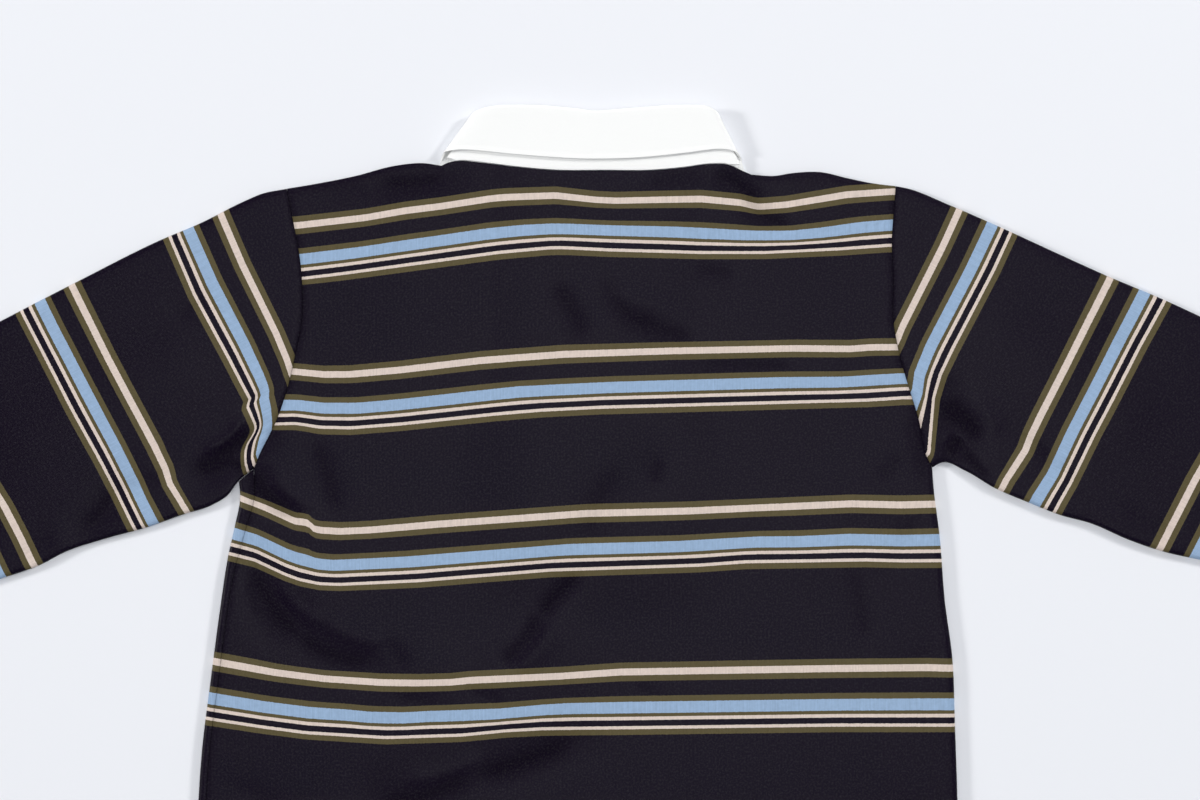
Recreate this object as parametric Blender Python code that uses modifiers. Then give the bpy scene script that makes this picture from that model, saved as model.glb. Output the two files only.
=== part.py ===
"""A long-sleeved polo shirt laid flat, front down, with its back up.

Metres, +Z up. The neck points to +Y, and the shirt rests on the plane Z = 0. Tables are in millimetres,
measured from the body's centre line (x) and from half way down the shirt (y).
"""

import math

import bmesh
import bpy
import numpy as np
from mathutils import Matrix

MM = 0.001

# Cloth
WALL = 1.2
COLLAR_WALL = 1.5
SEAM = 0.3
STACK = 6.0
CUFF_STACK = 5.0
CURL = 4.5
SHOULDER_LIP = 0.8
NECK_CORNER_GAP = 0.9
SHOULDER_GAP = 0.7
FLAT_NECK_SHIFT = (0, 0.6, 0.4, 0)
HEM_Y = -384.0
FOLD_ANGLES = (90, 45, 0, -45, -90)
SHARP_CLOTH = 50
SHARP_TRIM = 40

# Outline of the laid shirt: smooth curves through these places
SHOULDER_LEFT = ((-239, 318), (-215, 322), (-185, 328), (-154, 336), (-131, 338), (-117, 336))
BACK_NECK = ((-117, 336), (-98, 338), (-62, 335), (-25, 332), (11, 332), (47, 332), (74, 334), (104, 336),
             (127, 329))
FRONT_NECK = ((-117, 336), (-112, 318), (-88, 286), (-48, 262), (3, 254), (56, 261), (97, 284), (121, 312),
              (127, 329))
SHOULDER_RIGHT = ((127, 329), (146, 328), (158, 330), (182, 331), (204, 326), (224, 322), (241, 320))
ARMHOLE_LEFT = ((-239, 318), (-235, 297), (-230, 272), (-227, 245), (-228, 207), (-231, 193), (-238, 162),
                (-246, 138), (-261, 107), (-265, 97))
NOTCH_LEFT = (-277, 87)
ARMHOLE_RIGHT = ((241, 320), (239, 295), (238, 280), (239, 245), (239, 214), (243, 191), (251, 162),
                 (259, 136), (266, 105), (270, 98))
SIDE_LEFT = ((-277, 87), (-276, 75), (-280, 53), (-286, 26), (-291, -7), (-300, -75), (-306, -123),
             (-309, -165), (-311, -280), (-310, HEM_Y))
SIDE_RIGHT = ((270, 98), (271, 84), (276, 43), (280, -7), (286, -53), (288, -105), (290, -165),
              (291, -280), (290, HEM_Y))
SLEEVE_LEFT_TOP = ((-239, 318), (-259, 314), (-271, 309), (-307, 291), (-340, 277), (-402, 246), (-466, 213),
                   (-560, 163), (-717, 76))
SLEEVE_LEFT_BOTTOM = ((-265.3, 97.3), (-277.4, 87.3), (-286, 76), (-299, 68), (-321, 61), (-349, 51),
                      (-382, 42), (-415, 31), (-432, 22), (-466, 10), (-560, -16), (-676, -22))
SLEEVE_RIGHT_TOP = ((241, 320), (247, 319), (284, 305), (314, 292), (371, 266), (404, 251), (456, 229),
                    (482, 217), (590, 166), (724, 97))
SLEEVE_RIGHT_BOTTOM = ((270.3, 98.3), (278, 102), (297, 95), (319, 82), (347, 70), (371, 60.5), (395, 54),
                       (425, 41), (453, 31.5), (482, 25), (580, 0), (686, -5))

# How far the side seams lie in from the side folds: the left one on top, the right one underneath
SEAM_INSET = ((87, 12.5), (50, 9.5), (0, 6.5), (HEM_Y, 6.5))
SEAM_INSET_UNDER = 6.5
UNDERARM_EASE = 6.0

# Cuffs: length and flat width
CUFF_LENGTH = 65.0
CUFF_WIDTH = 88.0
RIB_COUNT = 20
RIB_RISE = 0.5

# Collar, from its left front end round the back to its right front end. layer is 1 on top, -1 underneath.
# columns: layer, neck seam x, y, fold x, y, free edge x, y
COLLAR = (
    (-1.0, -17, 258, -16, 286, -62, 222),
    (-1.0, -48, 265, -40, 298, -98, 244),
    (-1.0, -84, 291, -70, 322, -121, 282),
    (-1.0, -105, 319, -84, 350, -122, 317),
    (-1.0, -107.5, 331, -87, 363, -118.5, 337),
    (-0.7, -110, 337.5, -90, 370, -117, 341),
    (0.0, -112, 341, -91.5, 374.5, -115.5, 344),
    (0.7, -110.5, 342, -89, 378, -112.5, 347),
    (1.0, -98, 338.6, -74, 381.6, -97, 348.5),
    (1.0, -62, 335.6, -44, 382, -62, 345.2),
    (1.0, -25, 332.6, -14, 379.5, -25, 342.3),
    (1.0, 5, 332.6, 5, 377.5, 3, 341.3),
    (1.0, 38, 332.6, 32, 379.5, 38, 342.3),
    (1.0, 72, 334.6, 62, 381.6, 72, 345.6),
    (1.0, 102, 337, 88, 381.8, 100, 349),
    (0.7, 115.5, 337, 97.5, 378.5, 112.5, 347.5),
    (0.0, 117.5, 336.5, 100, 375, 117, 344),
    (-0.7, 116, 332.5, 99, 370, 119, 341),
    (-1.0, 114.5, 326, 97, 361, 120.5, 337),
    (-1.0, 110, 311, 95, 345, 128, 312),
    (-1.0, 94, 287, 80, 317, 129, 278),
    (-1.0, 57, 265, 50, 297, 107, 242),
    (-1.0, 24, 257.5, 24, 285, 72, 220),
)
NECK_GAP = 0.8
COLLAR_MIDDLE = 4.85
STAND_RISE = 1.3
FALL_RISE = 4.1
FALL_EASE = 0.7
COLLAR_LIFT = 2.2
EDGE_LIFT = 0.25
STAND_STEPS = 2
FALL_STEPS = 3

# Front opening
PLACKET = {"x": 3.5, "width": 32.0, "top": 250.0, "length": 165.0, "floor": 2.3, "rounding": 0.3}
BUTTON = {"count": 3, "first": 20.0, "spacing": 55.0, "radius": 5.75, "thickness": 2.0, "lift": 0.02,
          "rim": 1.2, "dish": 0.5, "rounding": 0.35, "sides": 24}

# Where the front is lifted off the surface. columns: height, x from, x to, y from, ramp
FRONT_LIFT = ((1.85, -132.0, 138.0, 185.0, 30.0), (3.85, -40.0, 47.0, 40.0, 24.0))
BACK_SHARE = 0.5

# The largest folds of the top layer. columns: x and y of one end, x and y of the other, half width, rise
FOLDS = (
    (-111, 330, -160, 322, 16, -1.4),
    (118, 326, 138, 305, 14, -1.4),
    (-262, 124, -305, 92, 14, -2.2),
    (-262, 24, -245, -20, 18, -1.8),
    (-245, -20, -170, -58, 18, -1.6),
    (-90, -42, 38, 100, 24, -1.2),
    (-165, -160, -10, -115, 22, -1.5),
    (-150, -60, -40, -40, 30, 1.4),
    (60, 150, 180, 40, 40, 1.0),
    (284, 158, 290, 105, 13, -2.0),
    (-372, 82, -398, 50, 14, -1.5),
    (330, 200, 420, 140, 26, 1.2),
    (-330, 180, -440, 120, 28, 1.2),
    (-560, 110, -640, 40, 20, -1.6),
    (560, 110, 640, 60, 20, -1.6),
    (-180, -250, -60, -330, 26, -1.4),
    (120, -220, 230, -300, 26, -1.4),
)

# Grid stations
WELD = 0.00002
ARMHOLE_STEPS = 11
SIDE_STEPS = 20
SHOULDER_STEPS = 5
NECK_STEPS = 13
NECK_CORNER = 0.025
NECK_FADE = 4
SLEEVE_STEPS = 20

COLOURS = {
    "striped jersey": ((0.016, 0.013, 0.024), 0.92),
    "collar twill": ((0.93, 0.93, 0.91), 0.85),
    "rib": ((0.016, 0.013, 0.024), 0.95),
    "button": ((0.80, 0.76, 0.66), 0.35),
}


def along(places, fractions, even=False):
    """Points of the smooth curve through the places, at fractions of its length, or of its rows if even."""
    places = np.array(places, float)
    steps = np.ones(len(places) - 1) if even else np.hypot(*np.diff(places, axis=0).T)
    reach = np.r_[0, np.cumsum(steps)] / steps.sum()
    slopes = np.gradient(places, reach, axis=0)
    fractions = np.clip(np.asarray(fractions, float), 0, 1)
    part = np.clip(np.searchsorted(reach, fractions, side="right") - 1, 0, len(reach) - 2)
    span = (reach[part + 1] - reach[part])[:, None]
    t = (fractions[:, None] - reach[part][:, None]) / span
    start, end = places[part], places[part + 1]
    leave, arrive = slopes[part] * span, slopes[part + 1] * span
    bend = (2 * t**3 - 3 * t**2 + 1) * start + (t**3 - 2 * t**2 + t) * leave
    return bend + (3 * t**2 - 2 * t**3) * end + (t**3 - t**2) * arrive


def length_of(places):
    return float(np.hypot(*np.diff(np.array(places, float), axis=0).T).sum())


def coons(top, bottom, left, right, across, down):
    """A patch of points between four boundary curves, rows down by columns across."""
    u, v = across[None, :, None], down[:, None, None]
    sides = (1 - u) * left[:, None] + u * right[:, None]
    ends = (1 - v) * top[None] + v * bottom[None]
    corners = (1 - v) * ((1 - u) * top[0] + u * top[-1]) + v * ((1 - u) * bottom[0] + u * bottom[-1])
    return sides + ends - corners


def smooth_step(value):
    value = np.clip(value, 0, 1)
    return value * value * (3 - 2 * value)


def fold_rise(x, y):
    """The height that the folds add at a place on the top layer."""
    rise = np.zeros(np.shape(x))
    for x0, y0, x1, y1, half_width, height in FOLDS:
        run = np.array((x1 - x0, y1 - y0), float)
        t = np.clip(((x - x0) * run[0] + (y - y0) * run[1]) / (run @ run), 0, 1)
        away = np.hypot(x - x0 - t * run[0], y - y0 - t * run[1])
        rise = rise + height * np.exp(-((away / half_width) ** 2))
    return rise


def front_lift(x, y):
    """How far the front is lifted by what lies under it."""
    lift = np.zeros(np.shape(x))
    for height, x_from, x_to, y_from, ramp in FRONT_LIFT:
        inside = smooth_step((x - x_from) / ramp + 1) * smooth_step((x_to - x) / ramp + 1)
        lift = np.maximum(lift, height * inside * smooth_step((y - y_from) / ramp + 1))
    return lift


def top_height(x, y):
    return STACK + fold_rise(x, y) + BACK_SHARE * front_lift(x, y)


def rolled_edge(angle, top, bottom):
    """Inset and height on a rounded side fold: 90 degrees is on top, 0 the outline, -90 underneath."""
    turn = math.radians(angle)
    return CURL * (1 - math.cos(turn)), (top + bottom) / 2 + (top - bottom) / 2 * math.sin(turn)


def inset_at(y):
    heights, insets = np.array(SEAM_INSET).T
    return np.interp(y, heights[::-1], insets[::-1])


class Grid:
    """A bmesh grid whose points are moved to a table of laid places."""

    def __init__(self):
        self.mesh = bmesh.new()

    def add(self, places, flip=False):
        places = np.array(places, float)
        rows, columns = places.shape[:2]
        made = bmesh.ops.create_grid(self.mesh, x_segments=columns - 1, y_segments=rows - 1, size=1)
        for vertex in made["verts"]:
            column = round((vertex.co.x + 1) / 2 * (columns - 1))
            row = round((vertex.co.y + 1) / 2 * (rows - 1))
            vertex.co = places[row, column] * MM
        if flip:
            faces = {face for vertex in made["verts"] for face in vertex.link_faces}
            bmesh.ops.reverse_faces(self.mesh, faces=sorted(faces, key=lambda face: face.index))

    def finish(self, name, colour, wall, offset=-1):
        """Joins the grids' edges. A wall of 0 says that they already close round the cloth."""
        bmesh.ops.remove_doubles(self.mesh, verts=self.mesh.verts, dist=WELD)
        data = bpy.data.meshes.new(name)
        self.mesh.to_mesh(data)
        self.mesh.free()
        piece = bpy.data.objects.new(name, data)
        if wall:
            thick = piece.modifiers.new("wall", "SOLIDIFY")
            thick.thickness = wall * MM
            thick.offset = offset
            thick.use_even_offset = True
            thick.use_quality_normals = True
        data.materials.append(material(colour))
        data.shade_smooth()
        data.set_sharp_from_angle(angle=math.radians(SHARP_CLOTH))
        SHIRT.objects.link(piece)
        return piece


def material(name):
    if name in bpy.data.materials:
        return bpy.data.materials[name]
    made = bpy.data.materials.new(name)
    made.use_nodes = True
    shader = made.node_tree.nodes["Principled BSDF"]
    colour, roughness = COLOURS[name]
    shader.inputs["Base Color"].default_value = (*colour, 1)
    shader.inputs["Roughness"].default_value = roughness
    shader.inputs["Metallic"].default_value = 0
    return made


def with_height(plan, height):
    return np.concatenate([plan, np.asarray(height)[..., None]], axis=-1)


def body_rows():
    """Fractions down the armhole, with close rows at its rounded ends, and fractions down the side."""
    reach = length_of(ARMHOLE_LEFT)
    half_rolled = rolled_edge(45, 0, 0)[0]
    steps = np.arange(1, ARMHOLE_STEPS) / ARMHOLE_STEPS
    armhole = np.r_[0, 0, half_rolled / reach, CURL / reach, steps, 1 - CURL / reach, 1]
    return armhole, np.arange(1, SIDE_STEPS + 1) / SIDE_STEPS


def body_top(neck):
    """The top boundary of a panel, and 1 for its shoulder points and 0 for those inside the neck."""
    shoulder = np.linspace(0, 1, SHOULDER_STEPS + 1)
    inside = np.r_[NECK_CORNER, np.linspace(0, 1, NECK_STEPS + 1)[1:-1], 1 - NECK_CORNER]
    parts = (along(SHOULDER_LEFT, shoulder), along(neck, inside), along(SHOULDER_RIGHT, shoulder))
    rolled = np.repeat((1.0, 0.0, 1.0), [len(part) for part in parts])
    return np.concatenate(parts), rolled


def body_plan(neck, left, right):
    """The plan of a panel: rows from the shoulders to the hem, columns from left to right.

    The rows follow the back's neck, and a deeper neck fades out down the panel.
    """
    top, rolled = body_top(BACK_NECK)
    across = (top[:, 0] - top[0, 0]) / (top[-1, 0] - top[0, 0])
    heights = (left[:, 1] + right[:, 1]) / 2
    down = (heights[0] - heights) / (heights[0] - heights[-1])
    bottom = left[-1] + across[:, None] * (right[-1] - left[-1])
    deeper = body_top(neck)[0] - top
    plan = coons(top, bottom, left, right, across, down)
    return plan + deeper * (1 - down[:, None, None]) ** NECK_FADE, rolled


def close_shoulders(plan, own, other, rolled):
    """Rolls the first rows half way round the shoulder edge, and keeps them flat along the neck."""
    edge = own[3].copy()
    middle = (edge + other[3]) / 2
    side = np.sign(edge - middle)
    beside_neck = rolled * (1 - np.minimum(np.roll(rolled, 1), np.roll(rolled, -1)))
    spread = beside_neck * NECK_CORNER_GAP
    heights = (middle + side * (SHOULDER_GAP / 2 + spread), middle + side * (SHOULDER_LIP + spread / 2),
               middle + (edge - middle) * math.sin(math.radians(45)), edge)
    for row, (height, shift) in enumerate(zip(heights, FLAT_NECK_SHIFT)):
        own[row] = rolled * height + (1 - rolled) * own[row]
        plan[row, :, 1] -= (1 - rolled) * shift
    return with_height(plan, own)


def back_panel():
    armhole, side = body_rows()
    outline_left = along(SIDE_LEFT, side)
    outline_right = along(SIDE_RIGHT, np.r_[0, side])
    seam_left = outline_left + np.stack([inset_at(outline_left[:, 1]), 0 * side], axis=1)
    left = np.concatenate([along(ARMHOLE_LEFT, armhole), seam_left])
    right = np.concatenate([along(ARMHOLE_RIGHT, armhole[:-1]), outline_right - (CURL, 0)])
    plan, rolled = body_plan(BACK_NECK, left, right)
    x, y = plan.transpose(2, 0, 1)
    main = close_shoulders(plan, top_height(x, y), front_lift(x, y), rolled)
    fold = []
    for x, y in outline_right:
        top = float(top_height(x - CURL, y))
        bend = [rolled_edge(angle, top, 0) for angle in FOLD_ANGLES]
        points = [(x - inset, y, z) for inset, z in bend]
        fold.append(points + [(x - SEAM_INSET_UNDER, y, 0)])
    hook = underarm_corner() + [fold[0][2]]
    grid = Grid()
    grid.add(main, flip=True)
    grid.add(fold, flip=True)
    grid.add([hook, fold[0][:3]], flip=True)
    return grid.finish("back", "striped jersey", WALL)


def underarm_corner():
    """The back's rolled edge along the end of the right armhole, down to its outline."""
    corner = []
    for angle in (90, 45):
        fraction = 1 - rolled_edge(angle, 0, 0)[0] / length_of(ARMHOLE_LEFT)
        x, y = along(ARMHOLE_RIGHT, [fraction])[0]
        corner.append((x, y, rolled_edge(angle, float(top_height(x, y)), 0)[1]))
    return corner


def front_panel():
    armhole, side = body_rows()
    outline_left = along(SIDE_LEFT, np.r_[0, side])
    outline_right = along(SIDE_RIGHT, np.r_[0, side])
    seam_right = outline_right - (SEAM_INSET_UNDER + SEAM, 0)
    left = np.concatenate([along(ARMHOLE_LEFT, armhole[:-1]), outline_left + (CURL, 0)])
    left[len(armhole) - 1, 0] += UNDERARM_EASE
    right = np.concatenate([along(ARMHOLE_RIGHT, armhole[:-1]), seam_right])
    plan, rolled = body_plan(FRONT_NECK, left, right)
    x, y = plan.transpose(2, 0, 1)
    main = close_shoulders(plan, front_lift(x, y), top_height(x, y), rolled)
    fold = []
    for x, y in outline_left:
        top = float(top_height(x + CURL, y))
        seam = x + inset_at(y) - SEAM
        bend = [rolled_edge(angle, top, 0) for angle in FOLD_ANGLES]
        points = [(x + inset, y, z) for inset, z in bend]
        fold.append([(seam, y, float(top_height(seam, y)))] + points)
    fold[0][:3] = underarm_hook(fold[0][2][2])
    fold[0][-1] = (*left[len(armhole) - 1], 0)
    grid = Grid()
    grid.add(main)
    grid.add(fold)
    return grid.finish("front", "striped jersey", WALL)


def underarm_hook(half_rolled_height):
    """The front's top edge by the left underarm, from the end of the back armhole to the notch."""
    start, end = np.array(ARMHOLE_LEFT[-1], float), np.array(NOTCH_LEFT, float)
    way = (end - start) / np.hypot(*(end - start))
    half_rolled = rolled_edge(45, 0, 0)[0]
    places = (start + way * SEAM, end - way * CURL, end - way * half_rolled)
    heights = (float(top_height(*places[0])), float(top_height(*places[1])), half_rolled_height)
    return [(*place, height) for place, height in zip(places, heights)]


def sleeve(name, armhole, top_places, bottom_places, flip):
    """A flattened tube from the armhole to the cuff line."""
    fractions = body_rows()[0][1:]
    mouth_width = length_of(armhole)
    half_rolled = rolled_edge(45, 0, 0)[0]
    top_edge = [(half_rolled, 45), (CURL, 90)]
    shares = [(share, 90) for share in fractions[3:-2]]
    cuff_top, cuff_bottom = np.array(top_places[-1], float), np.array(bottom_places[-1], float)
    notch = length_of(bottom_places[:2]) / length_of(bottom_places)
    rows = []
    for step in np.r_[0, notch, np.arange(1, SLEEVE_STEPS + 1) / SLEEVE_STEPS]:
        edge_top, edge_bottom = along(top_places, [step])[0], along(bottom_places, [step])[0]
        width = mouth_width if step == 0 else float(np.hypot(*(edge_top - edge_bottom)))
        over = [(0, 0)] + [(inset / width, angle) for inset, angle in top_edge] + shares
        over += [(1 - inset / width, angle) for inset, angle in reversed(top_edge)] + [(1, 0)]
        ring = over + [(t, -angle) for t, angle in reversed(over[1:-1])] + [(0, 0)]
        t, angle = np.array(ring).T
        mouth = along(armhole, t)
        t = t[:, None]
        blend = (1 - step) * mouth + step * (cuff_top + t * (cuff_bottom - cuff_top))
        corners = (1 - t) * ((1 - step) * np.array(armhole[0]) + step * cuff_top)
        corners = corners + t * ((1 - step) * np.array(armhole[-1]) + step * cuff_bottom)
        plan = blend + (1 - t) * edge_top + t * edge_bottom - corners
        if step == 0:
            way = along(armhole, t[:, 0] + 0.01) - along(armhole, t[:, 0] - 0.01)
            away = np.stack([way[:, 1], -way[:, 0]], axis=1) * (1 if flip else -1)
            plan = mouth + SEAM * away / np.hypot(*away.T)[:, None]
        top = top_height(*plan.T)
        rows.append(with_height(plan, top / 2 + top / 2 * np.sin(np.radians(angle))))
    grid = Grid()
    grid.add(rows, flip=flip)
    return grid.finish(name, "striped jersey", WALL)


def cuff_ring(inset, rise):
    """The outline of a flattened tube's cross-section, closed, with every other point on top raised."""
    low, high = inset, CUFF_STACK - inset
    bend = (high - low) / 2
    corner = bend * (1 - math.sin(math.radians(45)))
    left, right = inset, CUFF_WIDTH - inset
    stations = np.linspace(CUFF_STACK / 2, CUFF_WIDTH - CUFF_STACK / 2, 2 * RIB_COUNT + 1)
    ribs = [(x, high + rise * (number % 2)) for number, x in enumerate(stations)]
    near_edge = [(left, low + bend), (left + corner, high - corner)]
    far_edge = [(right - corner, high - corner), (right, low + bend), (right - corner, low + corner)]
    underneath = [(x, low) for x in stations[::-4]] + [(left + corner, low + corner), (left, low + bend)]
    return near_edge + ribs + far_edge + underneath


def cuff(name, top_places, bottom_places, flip):
    """A flattened tube of ribbed knit beyond the end of a sleeve, its ribs raised over a plain inside."""
    high, low = np.array(top_places[-1], float), np.array(bottom_places[-1], float)
    across = (low - high) / np.hypot(*(low - high))
    outward = np.array((across[1], -across[0])) * (1 if flip else -1)
    start = (high + low) / 2 - across * CUFF_WIDTH / 2
    outer, inner = [], []
    for reach in (SEAM, SEAM + CUFF_LENGTH / 2, SEAM + CUFF_LENGTH):
        edge = start + outward * reach
        outer.append([(*(edge + across * x), z) for x, z in cuff_ring(0, RIB_RISE)])
        inner.append([(*(edge + across * x), z) for x, z in cuff_ring(WALL, 0)])
    grid = Grid()
    grid.add(outer, flip=flip)
    grid.add(inner, flip=not flip)
    grid.add([outer[0], inner[0]], flip=not flip)
    grid.add([outer[-1], inner[-1]], flip=flip)
    return grid.finish(name, "rib", 0)


def collar():
    """Stand and fall in one folded wall, laid round the neck: back on top, front ends underneath."""
    neck = body_top(BACK_NECK)[0]
    steps = np.linspace(0, 1, 2 * len(COLLAR) - 1)
    rows = []
    for layer, neck_x, neck_y, fold_x, fold_y, edge_x, edge_y in along(COLLAR, steps, even=True):
        layer = float(np.clip(layer, -1, 1))
        if layer > 0.95:
            neck_y = float(np.interp(neck_x, neck[:, 0], neck[:, 1])) + NECK_GAP
        side = math.copysign(math.sqrt(1 - layer**2), neck_x)
        fall_rise = FALL_RISE - FALL_EASE * max(layer, 0)
        half = (fall_rise - STAND_RISE) / 2
        lift = COLLAR_LIFT * max(layer, 0)
        seam = np.array((neck_x, neck_y, COLLAR_MIDDLE + layer * STAND_RISE))
        fold = np.array((fold_x, fold_y, COLLAR_MIDDLE + layer * (STAND_RISE + half) + lift))
        edge = np.array((edge_x, edge_y, COLLAR_MIDDLE + layer * fall_rise + lift * EDGE_LIFT))
        normal = half * np.array((side, 0, layer))
        onward = np.array((fold_x - neck_x, fold_y - neck_y, 0))
        onward = half * onward / np.linalg.norm(onward)
        stand_top, fall_top = fold - normal, fold + normal
        row = [seam + (stand_top - seam) * part for part in np.arange(STAND_STEPS + 1) / STAND_STEPS]
        for angle in (45, 90, 135):
            turn = math.radians(angle)
            row.append(fold - normal * math.cos(turn) + onward * math.sin(turn))
        row += [fall_top + (edge - fall_top) * part for part in np.arange(FALL_STEPS + 1) / FALL_STEPS]
        rows.append(row)
    grid = Grid()
    grid.add(rows)
    return grid.finish("collar", "collar twill", COLLAR_WALL, offset=0)


def placket():
    mesh = bmesh.new()
    bmesh.ops.create_cube(mesh, size=1)
    size = (PLACKET["width"], PLACKET["length"], WALL)
    middle = (PLACKET["x"], PLACKET["top"] - PLACKET["length"] / 2, PLACKET["floor"] + WALL / 2)
    bmesh.ops.scale(mesh, vec=[length * MM for length in size], verts=mesh.verts)
    bmesh.ops.translate(mesh, vec=[place * MM for place in middle], verts=mesh.verts)
    return hard_piece(mesh, "placket", "striped jersey", PLACKET["rounding"])


def button(number):
    mesh = bmesh.new()
    radius, thick = BUTTON["radius"], BUTTON["thickness"]
    bmesh.ops.create_cone(mesh, cap_ends=True, segments=BUTTON["sides"], radius1=radius * MM,
                          radius2=radius * MM, depth=thick * MM)
    under = min(mesh.faces, key=lambda face: face.calc_center_median().z)
    bmesh.ops.inset_region(mesh, faces=[under], thickness=BUTTON["rim"] * MM)
    bmesh.ops.translate(mesh, vec=(0, 0, BUTTON["dish"] * MM), verts=under.verts)
    y = PLACKET["top"] - BUTTON["first"] - number * BUTTON["spacing"]
    place = (PLACKET["x"] * MM, y * MM, (BUTTON["lift"] + thick / 2) * MM)
    bmesh.ops.translate(mesh, vec=place, verts=mesh.verts)
    return hard_piece(mesh, f"button_{number + 1}", "button", BUTTON["rounding"])


def hard_piece(mesh, name, colour, rounding):
    data = bpy.data.meshes.new(name)
    mesh.to_mesh(data)
    mesh.free()
    piece = bpy.data.objects.new(name, data)
    bevel = piece.modifiers.new("rounding", "BEVEL")
    bevel.width = rounding * MM
    bevel.segments = 2
    bevel.limit_method = "ANGLE"
    data.materials.append(material(colour))
    data.shade_smooth()
    data.set_sharp_from_angle(angle=math.radians(SHARP_TRIM))
    SHIRT.objects.link(piece)
    return piece


def centre(pieces):
    """Moves the shirt so that the origin is in the middle of its outline, on the surface that it lies on."""
    bpy.context.view_layer.update()
    graph = bpy.context.evaluated_depsgraph_get()
    corners = np.array([corner[:] for piece in pieces for corner in piece.evaluated_get(graph).bound_box])
    middle = (corners.min(axis=0) + corners.max(axis=0)) / 2
    for piece in pieces:
        piece.data.transform(Matrix.Translation((-middle[0], -middle[1], 0)))


for old in list(bpy.data.objects):
    bpy.data.objects.remove(old)
SHIRT = bpy.data.collections.new("polo_shirt")
bpy.context.scene.collection.children.link(SHIRT)

PIECES = [
    back_panel(),
    front_panel(),
    sleeve("sleeve_left", ARMHOLE_LEFT, SLEEVE_LEFT_TOP, SLEEVE_LEFT_BOTTOM, flip=True),
    sleeve("sleeve_right", ARMHOLE_RIGHT, SLEEVE_RIGHT_TOP, SLEEVE_RIGHT_BOTTOM, flip=False),
    cuff("cuff_left", SLEEVE_LEFT_TOP, SLEEVE_LEFT_BOTTOM, flip=True),
    cuff("cuff_right", SLEEVE_RIGHT_TOP, SLEEVE_RIGHT_BOTTOM, flip=False),
    collar(),
    placket(),
    *[button(number) for number in range(BUTTON["count"])],
]
centre(PIECES)
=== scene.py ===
# %% [markdown]
# # A striped polo shirt, laid flat with its back up
#
# The shirt lies front down on a pale surface, and the camera looks straight down on its back. It is made
# of cotton jersey: a back, a front, two sleeves and ribbed cuffs, with a woven white collar. The packed
# CAD model gives every piece's place and size. This lesson makes each piece again with a finer grid,
# then adds the knit, the stripes, the creases and the sewing.

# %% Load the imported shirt
import math

import bmesh
import bpy
import numpy as np
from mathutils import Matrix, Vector


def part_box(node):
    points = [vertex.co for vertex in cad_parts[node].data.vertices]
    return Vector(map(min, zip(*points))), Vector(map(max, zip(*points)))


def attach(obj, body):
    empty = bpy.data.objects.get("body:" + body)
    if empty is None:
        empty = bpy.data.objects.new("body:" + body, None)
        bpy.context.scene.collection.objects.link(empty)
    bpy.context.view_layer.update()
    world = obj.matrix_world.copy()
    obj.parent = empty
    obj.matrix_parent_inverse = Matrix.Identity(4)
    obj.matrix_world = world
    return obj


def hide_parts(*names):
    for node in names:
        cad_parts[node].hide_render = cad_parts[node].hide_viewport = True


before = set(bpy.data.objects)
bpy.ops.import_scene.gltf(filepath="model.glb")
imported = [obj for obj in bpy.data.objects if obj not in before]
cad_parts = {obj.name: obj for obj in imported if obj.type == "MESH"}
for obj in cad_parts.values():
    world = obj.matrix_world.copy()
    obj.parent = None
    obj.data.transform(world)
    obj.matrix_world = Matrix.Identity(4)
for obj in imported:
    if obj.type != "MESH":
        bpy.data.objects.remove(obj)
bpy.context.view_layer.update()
print("pieces in the CAD model:", sorted(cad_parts))

# %% [markdown]
# All the tables below are in millimetres, measured from the body's centre line (x) and from half way down
# the shirt (y), as a pattern cutter would note them with the shirt on a table. The CAD model has its origin
# in the middle of the outline instead, so one shift takes a table place to the model's place. The placket's
# box gives it.

# %% From table millimetres to the model's metres
MM = 0.001
PLACKET = {"x": 3.5, "width": 32.0, "top": 250.0, "length": 165.0, "floor": 2.3}
placket_low, placket_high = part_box("placket")
SHIFT = np.array([
    (placket_low.x + placket_high.x) / 2 / MM - PLACKET["x"],
    (placket_low.y + placket_high.y) / 2 / MM - (PLACKET["top"] - PLACKET["length"] / 2),
    0.0,
])
PIXEL = 0.79
ZERO_PIXEL = (590.0, 591.5)


def from_photo(places):
    """Table millimetres of places given in pixels of the photograph."""
    places = np.array(places, float)
    return (places - ZERO_PIXEL) * (PIXEL, -PIXEL)


print("shift in mm:", SHIFT.round(2))

# %% [markdown]
# The outline of the laid shirt is a set of smooth curves through measured places. The same tables are in
# the CAD model's source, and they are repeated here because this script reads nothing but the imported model.

# %% Outline and cloth sizes
WALL = 1.2
COLLAR_WALL = 1.5
SEAM = 0.3
STACK = 6.0
CUFF_STACK = 5.0
CURL = 4.5
SHOULDER_LIP = 0.8
NECK_CORNER_GAP = 0.9
SHOULDER_GAP = 0.7
HEM_Y = -384.0

SHOULDER_LEFT = ((-239, 318), (-215, 322), (-185, 328), (-154, 336), (-131, 338), (-117, 336))
BACK_NECK = ((-117, 336), (-111, 338.6), (-103, 339.8), (-90, 338.8), (-62, 335.2), (-25, 332), (11, 332),
             (47, 332), (74, 334.3), (96, 337.2), (110, 336.5), (119, 332.5), (127, 329))
FRONT_NECK = ((-117, 336), (-112, 318), (-88, 286), (-48, 262), (3, 254), (56, 261), (97, 284), (121, 312),
              (127, 329))
SHOULDER_RIGHT = ((127, 329), (146, 328), (158, 330), (182, 331), (204, 326), (224, 322), (241, 320))
ARMHOLE_LEFT = ((-239, 318), (-235, 297), (-230, 272), (-227, 245), (-228, 207), (-231, 193), (-238, 162),
                (-246, 138), (-261, 107), (-265, 97))
NOTCH_LEFT = (-277, 87)
ARMHOLE_RIGHT = ((241, 320), (239, 295), (238, 280), (239, 245), (239, 214), (243, 191), (251, 162),
                 (259, 136), (266, 105), (270, 98))
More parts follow.
